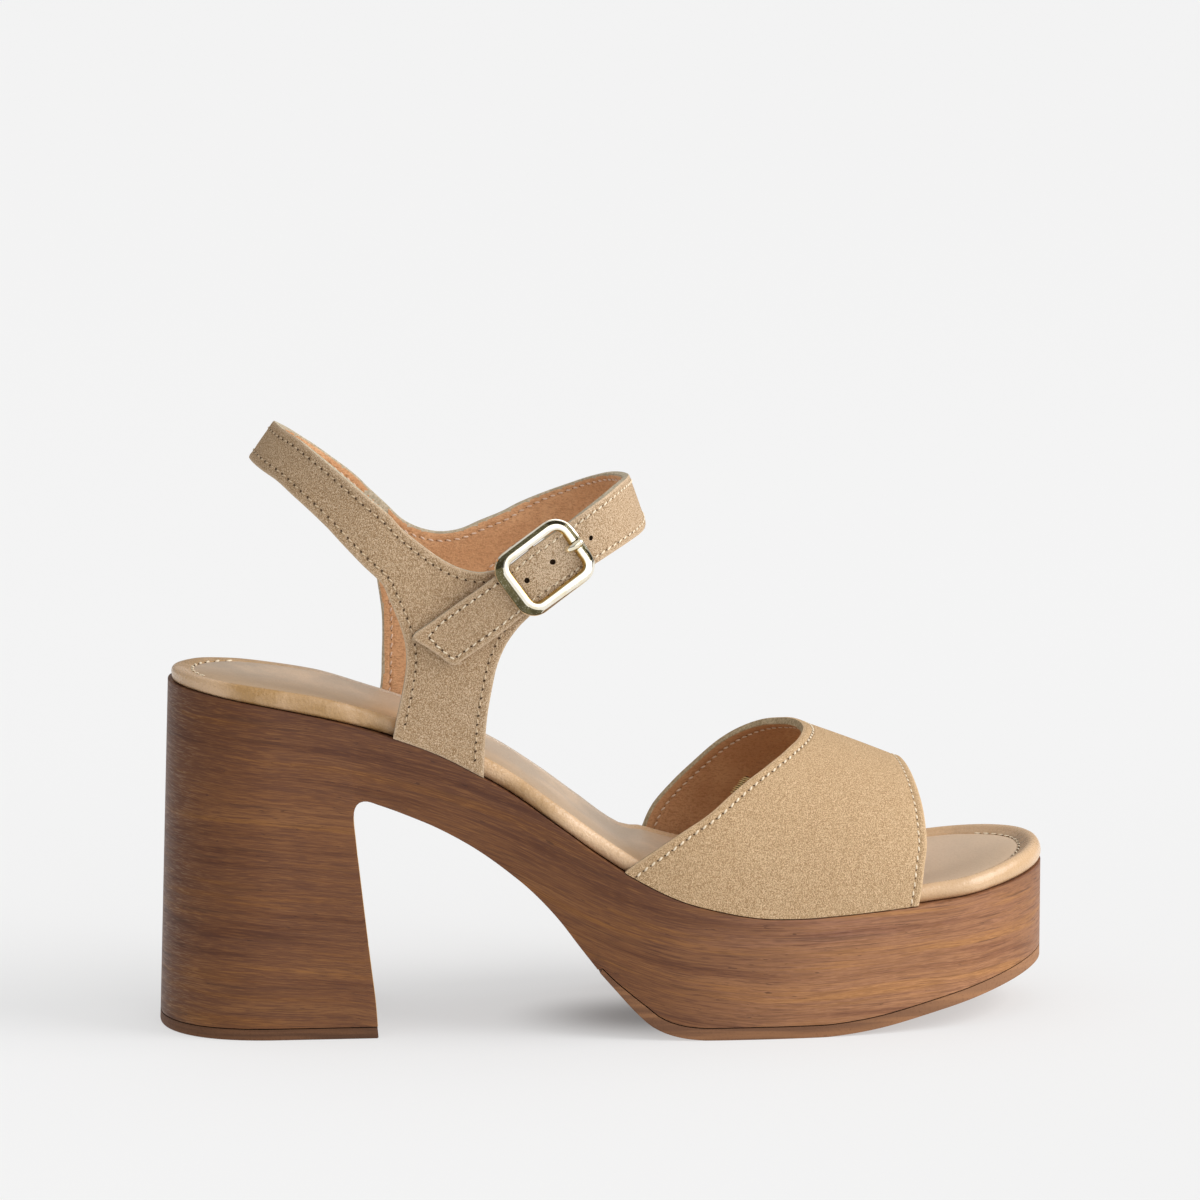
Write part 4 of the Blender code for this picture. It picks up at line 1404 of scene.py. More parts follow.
    def rub(self, work: bmesh.types.BMesh) -> None:
        """Gives the heel breast's rounded edges wear with a painted highlight, material 1.

        Args:
            work: Mesh in millimetres.
        """
        low, high, top = self.breast_box
        breast = Table(tuple(sorted((z, x) for x, z in self.waist_line() if x < high and z < top)))
        work.normal_update()
        for face in work.faces:
            spots = [v.co for v in face.verts if low < v.co.x < high and v.co.z < top]
            away = [abs(breast.at(p.z) - p.x - self.wear_and_light_in) for p in spots]
            if len(spots) == len(face.verts) and max(away) < self.wear_and_light_room:
                face.material_index = 1 if 0.1 < abs(face.normal.y) < 0.99 else 0

    def build(self, finishes: Wardrobe) -> None:
        """Builds the three pieces.

        Args:
            finishes: Materials.
        """
        places = [self.rear + self.seat_step * i for i in range(self.seat_count)]
        top = [(x, LAST.seat.at(x)) for x in places]
        low = self.tread_line(lambda x: self.thickness(x) + GAP)
        floor = self.top_piece + GAP
        breast = self.waist[-1][0]
        rear = (self.rear, floor)
        outline = top + low[::-1] + self.waist_line() + [rear]
        sole = self.shape(outline, [low, [rear, (breast, floor)]])
        below = [max(LAST.seat.at(v.co.x) - v.co.z, 0.0) * MM for v in sole.verts]
        values = {"grain": self.grain(sole), "below": below}
        self.rub(sole)
        woods = [finishes.wood, finishes.worn_and_lit_wood]
        finish_piece("platform", sole, woods, ["platform_sole"], 30.0, values)
        under, over = self.tread_line(lambda x: 0.0), self.tread_line(self.thickness)
        tread = self.shape(under + over[::-1], [over])
        finish_piece(
            "forefoot_tread", tread, [finishes.rubber], ["forefoot_outsole"], 30.0
        )
        lift = [(self.rear, 0.0), (breast, 0.0)]
        lift += [(breast - 0.3, self.top_piece), (self.rear, self.top_piece)]
        cap = self.shape(lift, [lift[2:]])
        finish_piece(
            "heel_lift", cap, [finishes.lift_rubber], ["heel_top_piece"], 30.0
        )


@dataclass
class Footbed:
    """Padded bed with its rolled rim, and the sock panel sewn into it."""

    rolls: Table = Table((
        (0.0, 0.5, 0.0, 0.9, 0.0, 0.0), (0.08, 0.1, 0.08, 0.35, 0.08, 0.0),
        (0.2, -0.05, 0.3, 0.0, 0.28, 0.0),
        (0.34, -0.1, 0.58, 0.05, 0.52, 0.0), (0.46, 0.05, 0.8, 0.5, 0.74, 0.0),
        (0.55, 0.4, 0.94, 1.1, 0.89, 0.0),
        (0.63, 1.0, 1.0, 1.8, 0.98, 0.0), (0.71, 1.8, 1.0, 2.4, 1.0, 0.1),
        (0.79, 2.6, 1.0, 2.9, 1.0, 0.42),
        (0.86, 3.3, 1.0, 3.4, 1.0, 0.8), (0.92, 4.0, 1.0, 4.0, 1.0, 1.08),
        (1.0, 4.9, 0.5, 4.9, 0.5, 1.2),
    ))
    valley: Table = Table((
        (-118.0, 0.7, 0.7), (-98.0, 0.8, 0.35), (-80.0, 0.8, 0.3), (-40.0, 0.8, 0.25),
        (-20.0, 0.8, 0.25),
        (0.0, 0.9, 0.5), (20.0, 1.0, 0.8), (60.0, 1.1, 1.4), (90.0, 1.0, 1.8), (105.0, 1.2, 1.8),
        (122.0, 1.6, 1.6),
    ))
    reach: Table = Table((
        (-118.0, 5.6), (-108.0, 4.7), (-95.0, 4.1), (80.0, 4.1), (100.0, 4.5), (112.0, 5.4),
        (122.0, 6.0),
    ))
    steps: int = 150
    wall_cuts: int = 19
    sock_cell: float = 2.0

    def toe_pleat(self, arc: float, share: float) -> float:
        """Height of the gathered pleats round the toe's rim, between -1 and 1."""
        wave = math.sin(arc * 2.0 * math.pi / 3.4 + 2.0 * ripple(arc * 0.37))
        return (
            hump(arc, 3.0, 7.5) * (0.65 + 0.5 * ripple(arc * 1.1)) * wave * ease(0.6, 0.88, share)
        )

    def section(self, x: float, share: float) -> tuple[float, float, float]:
        """Section of the rolled rim: crisp round the heel, round from the waist to the toe.

        Args:
            x: Place along the shoe.
            share: Place round the section, from its foot to the sock panel.

        Returns:
            Distance inwards, share of the rim's height and share of the valley's depth.
        """
        plump = ease(-78.0, -50.0, x)
        into = self.rolls.at(share, 1) * (1.0 - plump) + self.rolls.at(share, 3) * plump
        up = self.rolls.at(share, 2) * (1.0 - plump) + self.rolls.at(share, 4) * plump
        wider = 1.0 + (self.reach.at(x) / 4.1 - 1.0) * ease(0.5, 0.8, share)
        return into * wider, up, self.rolls.at(share, 5)

    def pad(self) -> tuple[bmesh.types.BMesh, dict[str, list]]:
        """Bed pressed onto the seat, with its rim rolled round.

        Returns:
            Closed mesh, with painted pleat shade at the toe and painted reflection on the inner
            rim.
        """
        edge = LAST.bed_loop(self.steps)
        inward = [(b - a).normalized() for a, b in zip(edge, LAST.inset(edge, [1.0] * len(edge)))]
        arcs = [0.0]
        for a, b in zip(edge, edge[1:]):
            arcs.append(arcs[-1] + (b - a).length)
        toe = arcs[self.steps]
        loop = LAST.loop(self.steps)
        work = bmesh.new()
        work.faces.new([work.verts.new((p.x, p.y, 0.0)) for p in loop])
        cut_grid(work, [p.x for p in loop[1:self.steps]], 0)
        raise_slab(work, 1.0)
        walls = [e for e in work.edges if abs(e.verts[0].co.z - e.verts[1].co.z) > 0.5]
        bmesh.ops.subdivide_edges(work, edges=walls, cuts=self.wall_cuts)
        near = KDTree(len(loop))
        for i, p in enumerate(loop):
            near.insert((p.x, p.y, 0.0), i)
        near.balance()
        pleat_shades, pale = [], []
        for vert in work.verts:
            i = near.find((vert.co.x, vert.co.y, 0.0))[1]
            share = vert.co.z
            into, up, down = self.section(edge[i].x, share)
            spot = edge[i] + inward[i] * into
            height = (
                up * LAST.rise(spot.x, spot.y) - down * LAST.across(self.valley, spot.x, spot.y)
            )
            height += 0.08 * ripple(arcs[i] * 0.11) * ease(0.3, 0.7, share)
            pleat = self.toe_pleat(arcs[i] - toe, share)
            # Painted shade in the pleats' valleys and in the valley round the toe's tip.
            valley_shade = 0.4 * hump(arcs[i] - toe, 3.0, 5.5) * ease(0.72, 0.95, share)
            pleat_shades.append(min(max(-pleat, 0.0) + valley_shade, 1.0))
            vert.co = (spot.x, spot.y, LAST.bed(spot.x) + height + 0.4 * pleat)
            # Painted reflection: the inner rim at the waist is tinted paler, as its sheen.
            pale.append(
                ease(2.0, 14.0, spot.y) * ease(-95.0, -60.0, spot.x) * ease(14.0, 3.0, spot.x)
            )
        return work, {"fold": pleat_shades, "pale": pale}

    def sock_loop(self, steps: int) -> list[Vector]:
        """Outline of the sock panel, in the valley inside the rim."""
        edge = LAST.bed_loop(steps)
        return LAST.inset(edge, [self.reach.at(p.x) for p in edge])

    def seam_level(self, x: float, y: float) -> float:
        """Height of the valley in which the sock panel is sewn."""
        return LAST.bed(x) + LAST.rise(x, y) - 1.08 * LAST.across(self.valley, x, y)

    def sock(self) -> tuple[bmesh.types.BMesh, dict[str, list]]:
        """Thin panel that swells from its seam and dishes towards its middle.

        Returns:
            Closed mesh, and how much of the leather's own tan shows towards the outer side.
        """
        edge = self.sock_loop(110)
        near = KDTree(len(edge) * 3)
        for i, p in enumerate(edge):
            for t in range(3):
                q = p.lerp(edge[(i + 1) % len(edge)], t / 3.0)
                near.insert((q.x, q.y, 0.0), i)
        near.balance()
        work = bmesh.new()
        work.faces.new([work.verts.new((p.x, p.y, 0.0)) for p in edge])
        for wide in (0.4, 0.7, 1.1):
            inner = max(work.faces, key=lambda f: len(f.verts))
            bmesh.ops.inset_region(
                work, faces=[inner], thickness=wide, use_boundary=True, use_even_offset=True
            )
        cut_grid(work, [-112.0 + self.sock_cell * i for i in range(116)], 0)
        cut_grid(work, [-36.0 + self.sock_cell * i for i in range(38)], 1)
        raise_slab(work, 1.0)
        for vert in work.verts:
            x, y, w = vert.co
            away = near.find((x, y, 0.0))[2]
            top = (
                self.seam_level(x, y)
                - 0.25
                + 0.6 * (1.0 - math.exp(-away / 0.8))
                - 0.8 * ease(4.0, 18.0, away)
            )
            vert.co.z = top if w > 0.5 else min(LAST.bed(x) + 0.5 * LAST.rise(x, y), top - 0.2)
        outer = [LAST.side(v.co.x, Side.OUTER) for v in work.verts]
        across = [
            (v.co.y - y) / (LAST.side(v.co.x, Side.INNER) - y) for v, y in zip(work.verts, outer)
        ]
        places = [v.co.x for v in work.verts]
        # Tan fades inwards and towards the toe; the paler tone left there is painted reflection.
        warm = [
            ease(0.72, 0.22, share) * (0.95 - 0.6 * ease(30.0, 80.0, x))
            for share, x in zip(across, places)
        ]
        return work, {"warm": warm}

    def seams(self, finishes: Wardrobe) -> None:
        """Stitches that show in the valley at the toe and at the back of the heel.

        Args:
            finishes: Materials.
        """
        loop = self.sock_loop(220)
        toe = [p for p in loop if p.x > (106.0 if p.y > 0.0 else 111.0)]
        heel = [p for p in loop if p.x < (-98.0 if p.y > 0.0 else -108.0)]
        heel = sorted(heel, key=lambda p: p.y)
        work = bmesh.new()
        for path, pitch, wide in ((toe, 2.9, 0.62), (heel, 3.6, 0.85)):
            seam = Seam(pitch=pitch, long=pitch * 0.68, wide=wide, high=wide * 0.75, slant=0.35)
            for k, (flat, along) in enumerate(seam.marks(path)):
                spot = Vector((flat.x, flat.y, self.seam_level(flat.x, flat.y) + 0.1))
                seam.lay(work, spot, Vector((along.x, along.y, 0.0)), Vector((0.0, 0.0, 1.0)), k)
        finish_piece("bed_thread", work, [finishes.thread, finishes.hole], (), 60.0)

    def build(self, finishes: Wardrobe) -> None:
        """Builds the bed, the sock panel and their seam.

        Args:
            finishes: Materials.
        """
        work, values = self.pad()
        pad = finish_piece("padded_bed", work, [finishes.bed], ["footbed"], 60.0, values)
        work, values = self.sock()
        finish_piece("sock", work, [finishes.sock], ["sock_panel"], 45.0, values)
        self.seams(finishes)


@dataclass
class Seam:
    """Row of stitches in a flat pattern: short threads between needle holes."""

    pitch: float = 2.42
    long: float = 1.45
    wide: float = 0.5
    high: float = 0.42
    slant: float = 0.2
    hole_long: float = 0.42
    hole_wide: float = 0.26
    hole_slant: float = -0.5
    hole_at: float = 0.92

    def marks(self, points: Sequence[Vector]) -> list[tuple[Vector, Vector]]:
        """Even places along a path.

        Args:
            points: Flat points of the path.

        Returns:
            Place and direction of each stitch.
        """
        run = [0.0]
        for a, b in zip(points, points[1:]):
            run.append(run[-1] + (b - a).length)
        count = max(int(run[-1] / self.pitch), 1)
        made = []
        for k in range(count):
            at = run[-1] * (k + 0.5) / count
            i = min(max(bisect.bisect_right(run, at) - 1, 0), len(points) - 2)
            step = points[i + 1] - points[i]
            t = (at - run[i]) / max(run[i + 1] - run[i], 1e-6)
            made.append((points[i] + step * t, step.normalized()))
        return made

    def lay(
        self,
        work: bmesh.types.BMesh,
        spot: Vector,
        ahead: Vector,
        out: Vector,
        k: int,
        finish: int = 0,
    ) -> None:
        """Lays one thread and a dark disc at its end: painted shade for the needle hole.

        Args:
            work: Mesh that gets them; material 1 is a hole's mouth.
            spot: Place on the leather's face.
            ahead: Direction of the seam.
            out: Direction away from the leather.
            k: Number of the stitch.
            finish: Material of the thread.
        """
        part = bmesh.new()
        size = Matrix.Diagonal((self.wide / 2.0, self.high / 2.0, self.long / 2.0, 1.0))
        turn = (
            Matrix.Rotation(self.slant + 0.06 * ripple(k * 1.7), 4, "Z")
            @ Matrix.Rotation(math.pi / 2.0, 4, "Y")
        )
        turn = (
            Matrix.Translation((0.0, 0.0, self.high * 0.02))
            @ turn
            @ Matrix.Rotation(math.pi / 2.0, 4, "Z")
        )
        bmesh.ops.create_uvsphere(part, u_segments=7, v_segments=5, radius=1.0, matrix=turn @ size)
        for face in part.faces:
            face.material_index = finish
        # Painted shade: a flat dark disc stands for the needle hole's mouth.
        hole = (
            Matrix.Translation((-self.hole_at, 0.0, 0.06))
            @ Matrix.Rotation(self.hole_slant, 4, "Z")
        )
        hole = hole @ Matrix.Diagonal((self.hole_long, self.hole_wide, 1.0, 1.0))
        made = bmesh.ops.create_circle(part, cap_ends=True, segments=9, radius=1.0, matrix=hole)
        for face in {f for v in made["verts"] for f in v.link_faces}:
            face.material_index = 1
        axes = Matrix((ahead, out.cross(ahead).normalized(), out)).transposed().to_4x4()
        bmesh.ops.transform(part, matrix=Matrix.Translation(spot) @ axes, verts=part.verts)
        join(work, part)


LINING_SEAM = Seam(long=1.5, wide=0.58, high=0.5, slant=-0.3, hole_long=0.2, hole_wide=0.12)


@dataclass
class Vamp:
    """Arched suede band over the toes, with stitched front and back edges."""

    crest: Table = Table(
        ((0.0, 98.7), (30.0, 87.3), (55.3, 78.05), (69.3, 72.8), (83.2, 67.2), (90.0, 64.4))
    )
    edges: Table = Table((
        (0.0, 2.2, 82.0), (8.0, 9.0, 83.0), (17.5, 17.2, 83.8), (26.0, 25.0, 84.7),
        (34.5, 31.2, 84.85), (42.0, 36.5, 84.85), (49.0, 41.4, 84.75), (59.0, 47.2, 84.4),
        (73.0, 52.8, 83.9), (90.0, 55.2, 83.6), (108.0, 51.7, 83.8), (118.0, 47.3, 84.0),
        (127.5, 42.6, 84.4), (139.0, 36.4, 84.9), (151.0, 29.8, 85.5), (161.5, 23.1, 86.0),
        (170.0, 17.8, 86.3), (180.0, 13.8, 86.4),
    ))
    wall: float = 2.2
    inset: float = 0.3
    crest_y: float = 3.0
    power: float = 2.2
    band: float = 6.0
    height: float = 60.0
    back_seam: float = 2.6
    front_seam: float = 2.3
    trim: float = 0.3
    tack_at: tuple[float, float] = (152.3, 16.2)
    arch_steps: int = 120
    row_steps: int = 34
    sew_steps: int = 400

    def point(self, angle: float, row: float) -> Vector:
        """Point of the outer face.

        Args:
            angle: Degrees round the arch from the outer side.
            row: Place from the back edge; both edge bands are in millimetres.

        Returns:
            Point in the shoe's axes.
        """
        angle = min(max(angle, 0.0), 180.0)
        back, front = self.edges.at(angle, 1), self.edges.at(angle, 2)
        if row <= self.band:
            x = back + row
        elif row >= self.height - self.band:
            x = front - (self.height - row)
        else:
            share = (row - self.band) / (self.height - 2.0 * self.band)
            x = back + self.band + (front - back - 2.0 * self.band) * share
        low = LAST.bed(x)
        turn = math.radians(angle)
        reach = abs(math.cos(turn)) ** (2.0 / self.power)
        rise = max(math.sin(turn), 0.0) ** (2.0 / self.power)
        side = (
            LAST.side(x, Side.OUTER) + self.inset
            if angle < 90.0 else LAST.side(x, Side.INNER) - self.inset
        )
        return Vector(
            (x, self.crest_y + (side - self.crest_y) * reach, low + (self.crest.at(x) - low) * rise)
        )

    def bend(self, flat: Vector) -> Vector:
        """Flat pattern to the shoe: angle, row and height above the inner face.

        Args:
            flat: Point of the flat pattern.

        Returns:
            Point in the shoe's axes.
        """
        a, r, w = flat
        spot = self.point(a, r)
        low, high = max(a - 0.6, 0.0), min(a + 0.6, 180.0)
        round_way = self.point(high, r) - self.point(low, r)
        along = self.point(a, min(r + 0.4, self.height)) - self.point(a, max(r - 0.4, 0.0))
        out = along.cross(round_way).normalized()
        return spot - out * (self.wall - w) if out.z > -0.2 else spot + out * (self.wall - w)

    def build(self, finishes: Wardrobe) -> None:
        """Builds the band and its seams.

        Args:
            finishes: Materials.
        """
        work = bmesh.new()
        bmesh.ops.create_grid(work, x_segments=1, y_segments=1, size=1.0)
        bmesh.ops.scale(work, vec=(90.0, self.height / 2.0, 1.0), verts=work.verts)
        bmesh.ops.translate(work, vec=(90.0, self.height / 2.0, 0.0), verts=work.verts)
        cut_grid(work, [180.0 * i / self.arch_steps for i in range(1, self.arch_steps)], 0)
        near = [0.25, 0.7, 1.3, 1.9, 2.6, 3.4, 4.6, 6.0]
        inside = self.height - 2.0 * self.band
        middle = [self.band + inside * i / self.row_steps for i in range(1, self.row_steps)]
        cut_grid(work, near + middle + [self.height - d for d in near], 1)
        raise_slab(work, self.wall)
        values = self.dress_flat(work)
        for vert in work.verts:
            vert.co = self.bend(vert.co)
        finishes_here = [finishes.vamp_suede, finishes.vamp_lining, finishes.vamp_edge]
        finish_piece("vamp_band", work, finishes_here, ["vamp"], 50.0, values)
        self.seams(finishes)

    def dress_flat(self, work: bmesh.types.BMesh) -> dict[str, list]:
        """Gives faces their finish and rims their rounding, while flat.

        Args:
            work: Flat slab.

        Returns:
            Distance of each vertex from the nearest cut edge and from the nearest seam.
        """
        for face in work.faces:
            level = face.calc_center_median().z
            middle = face.calc_center_median().y
            bare = min(middle, self.height - middle) < self.trim
            face.material_index = (
                0 if level > self.wall - 0.01 else 1 if level < 0.01 and not bare else 2
            )
        values: dict[str, list] = {"edge": [], "seam": []}
        for vert in work.verts:
            away = min(vert.co.y, self.height - vert.co.y)
            seam = self.back_seam if vert.co.y < self.height / 2.0 else self.front_seam
            values["edge"].append(away)
            values["seam"].append(abs(away - seam))
            soft = max(1.0 - away / 0.6, 0.0) ** 2
            if vert.co.z > self.wall / 2.0:
                vert.co.z += (
                    0.18 * hump(away, 1.1, 0.7) - 0.25 * soft - 0.14 * hump(away, seam, 0.5)
                )
            else:
                vert.co.z += 0.2 * soft
        return values

    def seams(self, finishes: Wardrobe) -> None:
        """Sews both edges on the outside and the inside.

        Args:
            finishes: Materials.
        """
        work = bmesh.new()
        plump = Seam(long=1.5, wide=0.66, high=0.6, slant=0.3, hole_long=0.3, hole_wide=0.2)
        slim = Seam(long=1.4, wide=0.52, high=0.46, slant=0.2, hole_long=0.26, hole_wide=0.17)
        for row, seam in ((self.back_seam, plump), (self.height - self.front_seam, slim)):
            angles = [180.0 * i / self.sew_steps for i in range(self.sew_steps + 1)]
            places = [self.point(angle, row) for angle in angles]
            run = [0.0]
            for a, b in zip(places, places[1:]):
                run.append(run[-1] + (b - a).length)
            count = int(run[-1] / seam.pitch)
            for k in range(count):
                i = bisect.bisect_left(run, run[-1] * (k + 0.5) / count)
                self.stitch(work, seam, angles[i], row, k)
        self.tack(work)
        threads = [finishes.thread, finishes.hole, finishes.brown_thread, finishes.tack]
        finish_piece("vamp_thread", work, threads, (), 60.0)

    def stitch(self, work: bmesh.types.BMesh, seam: Seam, angle: float, row: float, k: int) -> None:
        """Lays one stitch and its needle hole on both faces.

        Args:
            work: Mesh that gets them.
            seam: Sizes of the stitch.
            angle: Place round the arch.
            row: Place between the edges.
            k: Number of the stitch.
        """
        ahead = (self.point(angle + 0.5, row) - self.point(angle - 0.5, row)).normalized()
        inner = self.bend(Vector((angle, row, 0.0)))
        outer = self.bend(Vector((angle, row, self.wall - 0.1)))
        out = (outer - inner).normalized()
        seam.lay(work, outer, ahead, out, k)
        LINING_SEAM.lay(work, inner, ahead, -out, k + 3, 2)

    def tack(self, work: bmesh.types.BMesh) -> None:
        """Short row of loose bar tacks on the lining of the inner side.

        Args:
            work: Mesh that gets them.
        """
        seam = Seam(
            long=2.2,
            wide=0.42,
            high=0.5,
            slant=1.9,
            hole_long=0.5,
            hole_wide=0.16,
            hole_slant=1.9,
            hole_at=0.42,
        )
        for k in range(9):
            angle, row = self.tack_at[0] + 0.85 * k, self.tack_at[1] + 0.25 * ripple(k * 2.1)
            inner = self.bend(Vector((angle, row, 0.0)))
            out = (self.bend(Vector((angle, row, self.wall))) - inner).normalized()
            ahead = (self.point(angle + 0.5, row) - self.point(angle - 0.5, row)).normalized()
            seam.lay(work, inner, ahead, -out, k, 3)


@dataclass(frozen=True)
class Hole:
    """Punched hole of the strap; its floor is the height from the inner face at which it ends."""

    x: float
    z: float
    radius: float
    floor: float = 0.4


@dataclass
class AnklePiece:
    """Both legs, the heel strap and the ankle strap with its punched tail, cut as one."""

    outer_front: Marks = (
        (Run.OUTER, (
            (-34.7, 70.6), (-34.4, 79.0), (-33.8, 87.5), (-32.4, 96.1), (-31.2, 101.5),
            (-28.9, 106.9), (-25.8, 111.3), (-22.5, 114.6), (-18.0, 118.6), (-13.8, 122.4),
            (-12.6, 126.0), (-14.4, 130.0), (-18.0, 131.6),
        )),
    )
    top_edge: Marks = (
        (Run.OUTER, (
            (-18.0, 131.6), (-22.0, 130.4), (-27.0, 127.9), (-32.1, 126.8), (-36.0, 126.4),
            (-41.1, 127.6), (-45.9, 130.1), (-51.1, 133.9), (-56.0, 138.0),
        )),
        (Run.BACK, (
            (0.3, 142.5), (12.5, 148.0), (21.3, 151.5), (31.0, 154.8), (45.0, 158.3), (60.0, 160.8),
            (90.0, 162.4), (118.0, 159.8), (142.0, 154.7), (161.0, 148.5), (172.0, 144.0),
        )),
        (Run.INNER, (
            (-60.7, 140.4), (-55.8, 135.7), (-51.9, 131.9), (-47.2, 129.4), (-41.7, 128.2),
            (-36.1, 128.8), (-30.5, 131.1), (-24.2, 133.6),
        )),
        (Run.FRONT, (
            (4.2, 135.9), (16.5, 138.7), (29.3, 141.3), (43.5, 143.9), (61.0, 146.0), (90.0, 147.3),
        )),
        (Run.OVER, (
            (6.0, 148.4), (1.3, 148.3), (-5.0, 145.6), (-12.0, 140.7), (-22.0, 133.8),
            (-32.6, 125.5), (-43.0, 117.9), (-51.2, 112.2),
        )),
    )
    tail_end: Marks = (
        (Run.OVER, (
            (-51.2, 112.2), (-53.6, 110.6), (-53.8, 109.5), (-50.4, 107.2), (-46.4, 104.4),
            (-43.6, 102.4), (-42.2, 102.3),
        )),
    )
    low_edge: Marks = (
        (Run.OVER, (
            (-42.2, 102.3), (-33.8, 108.4), (-22.8, 117.0), (-13.0, 124.1), (-4.6, 129.9),
            (2.0, 133.1), (7.0, 134.4),
        )),
        (Run.FRONT, (
            (90.0, 134.9), (61.0, 133.4), (43.5, 131.2), (29.3, 128.6), (16.5, 125.9), (4.2, 122.6),
        )),
        (Run.INNER, (
            (-23.0, 119.5), (-27.2, 115.0), (-30.0, 108.8), (-31.4, 101.5), (-32.6, 94.0),
            (-33.8, 84.0), (-34.7, 70.6),
        )),
    )
    inner_back: Marks = (
        (Run.INNER, (
            (-58.9, 81.8), (-58.0, 88.0), (-57.75, 94.0), (-57.5, 100.0), (-57.6, 106.0),
            (-58.6, 113.6),
        )),
        (Run.BACK, (
            (180.0, 121.4), (172.0, 128.6), (161.0, 135.6), (148.0, 140.6), (133.0, 145.2),
            (118.0, 149.4), (90.0, 152.6), (62.0, 149.9), (46.0, 145.1), (32.0, 139.2),
            (22.3, 133.9), (12.7, 128.6), (3.5, 123.8),
        )),
        (Run.OUTER, (
            (-60.0, 119.7), (-58.0, 114.9), (-56.7, 111.4), (-55.6, 106.8), (-55.4, 101.9),
            (-56.0, 97.0), (-56.9, 92.0), (-57.9, 87.4), (-58.9, 81.8),
        )),
    )
    wall: float = 2.0
    ring_back: float = -60.0
    ring_front: float = -22.0
    ring_r: float = 29.5
    over_start: float = -12.0
    over_y: float = 34.5
    tail_y: float = 32.2
    over_turn: float = 28.0
    lean_back: float = 0.7
    lean_front: float = 0.355
    bulge: tuple[float, float, float] = (-19.15, 4.5, 0.6)
    window_z: float = 128.55
    leg_blend: tuple[float, float] = (70.0, 112.0)
    cell: float = 1.3
    seam_wide: float = 2.45
    seam_back: float = 1.95
    seam_slim: float = 1.7
    trim: float = 0.6
    tab: tuple[float, float, float] = (128.9, 135.0, 1.2)
    turn: float = 1.0
    foot_front: float = -34.7
    foot_back: float = -58.9
    foot_steps: int = 16

    def station(self, run: Run, at: float) -> float:
        """Length along the ring for a place on one of its runs.

        Args:
            run: Run of the ring.
            at: Place along the shoe on the sides, degrees on the ends.

        Returns:
            Length from the front of the outer side.
        """
        side, turn = self.ring_front - self.ring_back, math.pi * self.ring_r
        if run is Run.OUTER:
            return self.ring_front - at
        if run is Run.BACK:
            return side + turn * at / 180.0
        if run is Run.INNER:
            return side + turn + at - self.ring_back
        tip = 2.0 * side + 1.5 * turn
        if run is Run.FRONT:
            return tip + turn * (at - 90.0) / 180.0
        reach = self.ring_front + self.ring_r - self.over_start
        if at > self.over_start:
            return tip + self.over_turn * math.acos(min((at - self.over_start) / reach, 1.0))
        return tip + self.over_turn * math.pi / 2.0 + self.over_start - at

    def place(self, length: float) -> tuple[Vector, Vector, float, float]:
        """Plan of the ring.

        Args:
            length: Length along the ring.

        Returns:
            Plan point, outward direction, lean and the height at which the lean is nil.
        """
        side, turn = self.ring_front - self.ring_back, math.pi * self.ring_r
        if length < side:
            return Vector((self.ring_front - length, -self.ring_r)), Vector((0.0, -1.0)), 0.0, 0.0
        if length < side + turn:
            a = (length - side) / self.ring_r
            out = Vector((-math.sin(a), -math.cos(a)))
            lean = self.lean_back * math.sin(a) ** 2
            return (
                Vector((self.ring_back, 0.0)) + out * self.ring_r,
                out,
                lean,
                134.0 + 24.5 * math.sin(a),
            )
        if length < 2.0 * side + turn:
            return (
                Vector((self.ring_back + length - side - turn, self.ring_r)),
                Vector((0.0, 1.0)),
                0.0,
                0.0,
            )
        tip = 2.0 * side + 1.5 * turn
        if length < tip:
            a = (length - 2.0 * side - turn) / self.ring_r
            out = Vector((math.sin(a), math.cos(a)))
            lean = self.lean_front * math.sin(a) ** 2
            return Vector((self.ring_front, 0.0)) + out * self.ring_r, out, lean, 141.0
        a = (length - tip) / self.over_turn
        if a < math.pi / 2.0:
            reach = self.ring_front + self.ring_r - self.over_start
            spot = Vector((self.over_start + reach * math.cos(a), -self.over_y * math.sin(a)))
            out = Vector((math.cos(a) * self.over_y, -math.sin(a) * reach)).normalized()
            return spot, out, self.lean_front * math.cos(a) ** 2, 141.0
        x = self.over_start - (length - tip - self.over_turn * math.pi / 2.0)
        y = self.over_y + (self.tail_y - self.over_y) * (1.0 - ease(-48.0, -29.0, x))
        y += self.bulge[2] * hump(x, self.bulge[0], self.bulge[1])
        return Vector((x, -y)), Vector((0.0, -1.0)), 0.0, 0.0

    def point(self, length: float, z: float) -> Vector:
        """Point of the inner face.

        Args:
            length: Length along the ring.
            z: Height above the floor.

        Returns:
            Point in the shoe's axes.
        """
        spot, out, lean, middle = self.place(length)
        spot = spot - out * lean * (z - middle)
        leg = 1.0 - ease(*self.leg_blend, z)
        if leg > 0.0 and abs(out.y) > 0.99 and abs(spot.y) < self.ring_r + 1.0:
            foot = (
                LAST.side(spot.x, Side.OUTER if out.y < 0.0 else Side.INNER)
                - out.y * (GAP + self.wall)
            )
            spot.y += (foot - spot.y) * leg
        return Vector((spot.x, spot.y, z))

    def bend(self, flat: Vector) -> Vector:
        """Flat pattern to the shoe: length, height and distance from the inner face.

        Args:
            flat: Point of the flat pattern.

        Returns:
            Point in the shoe's axes.
        """
        s, z, w = flat
        ahead = self.point(s + 0.4, z) - self.point(s - 0.4, z)
        up = self.point(s, z + 0.4) - self.point(s, z - 0.4)
        return self.point(s, z) + up.cross(ahead).normalized() * w

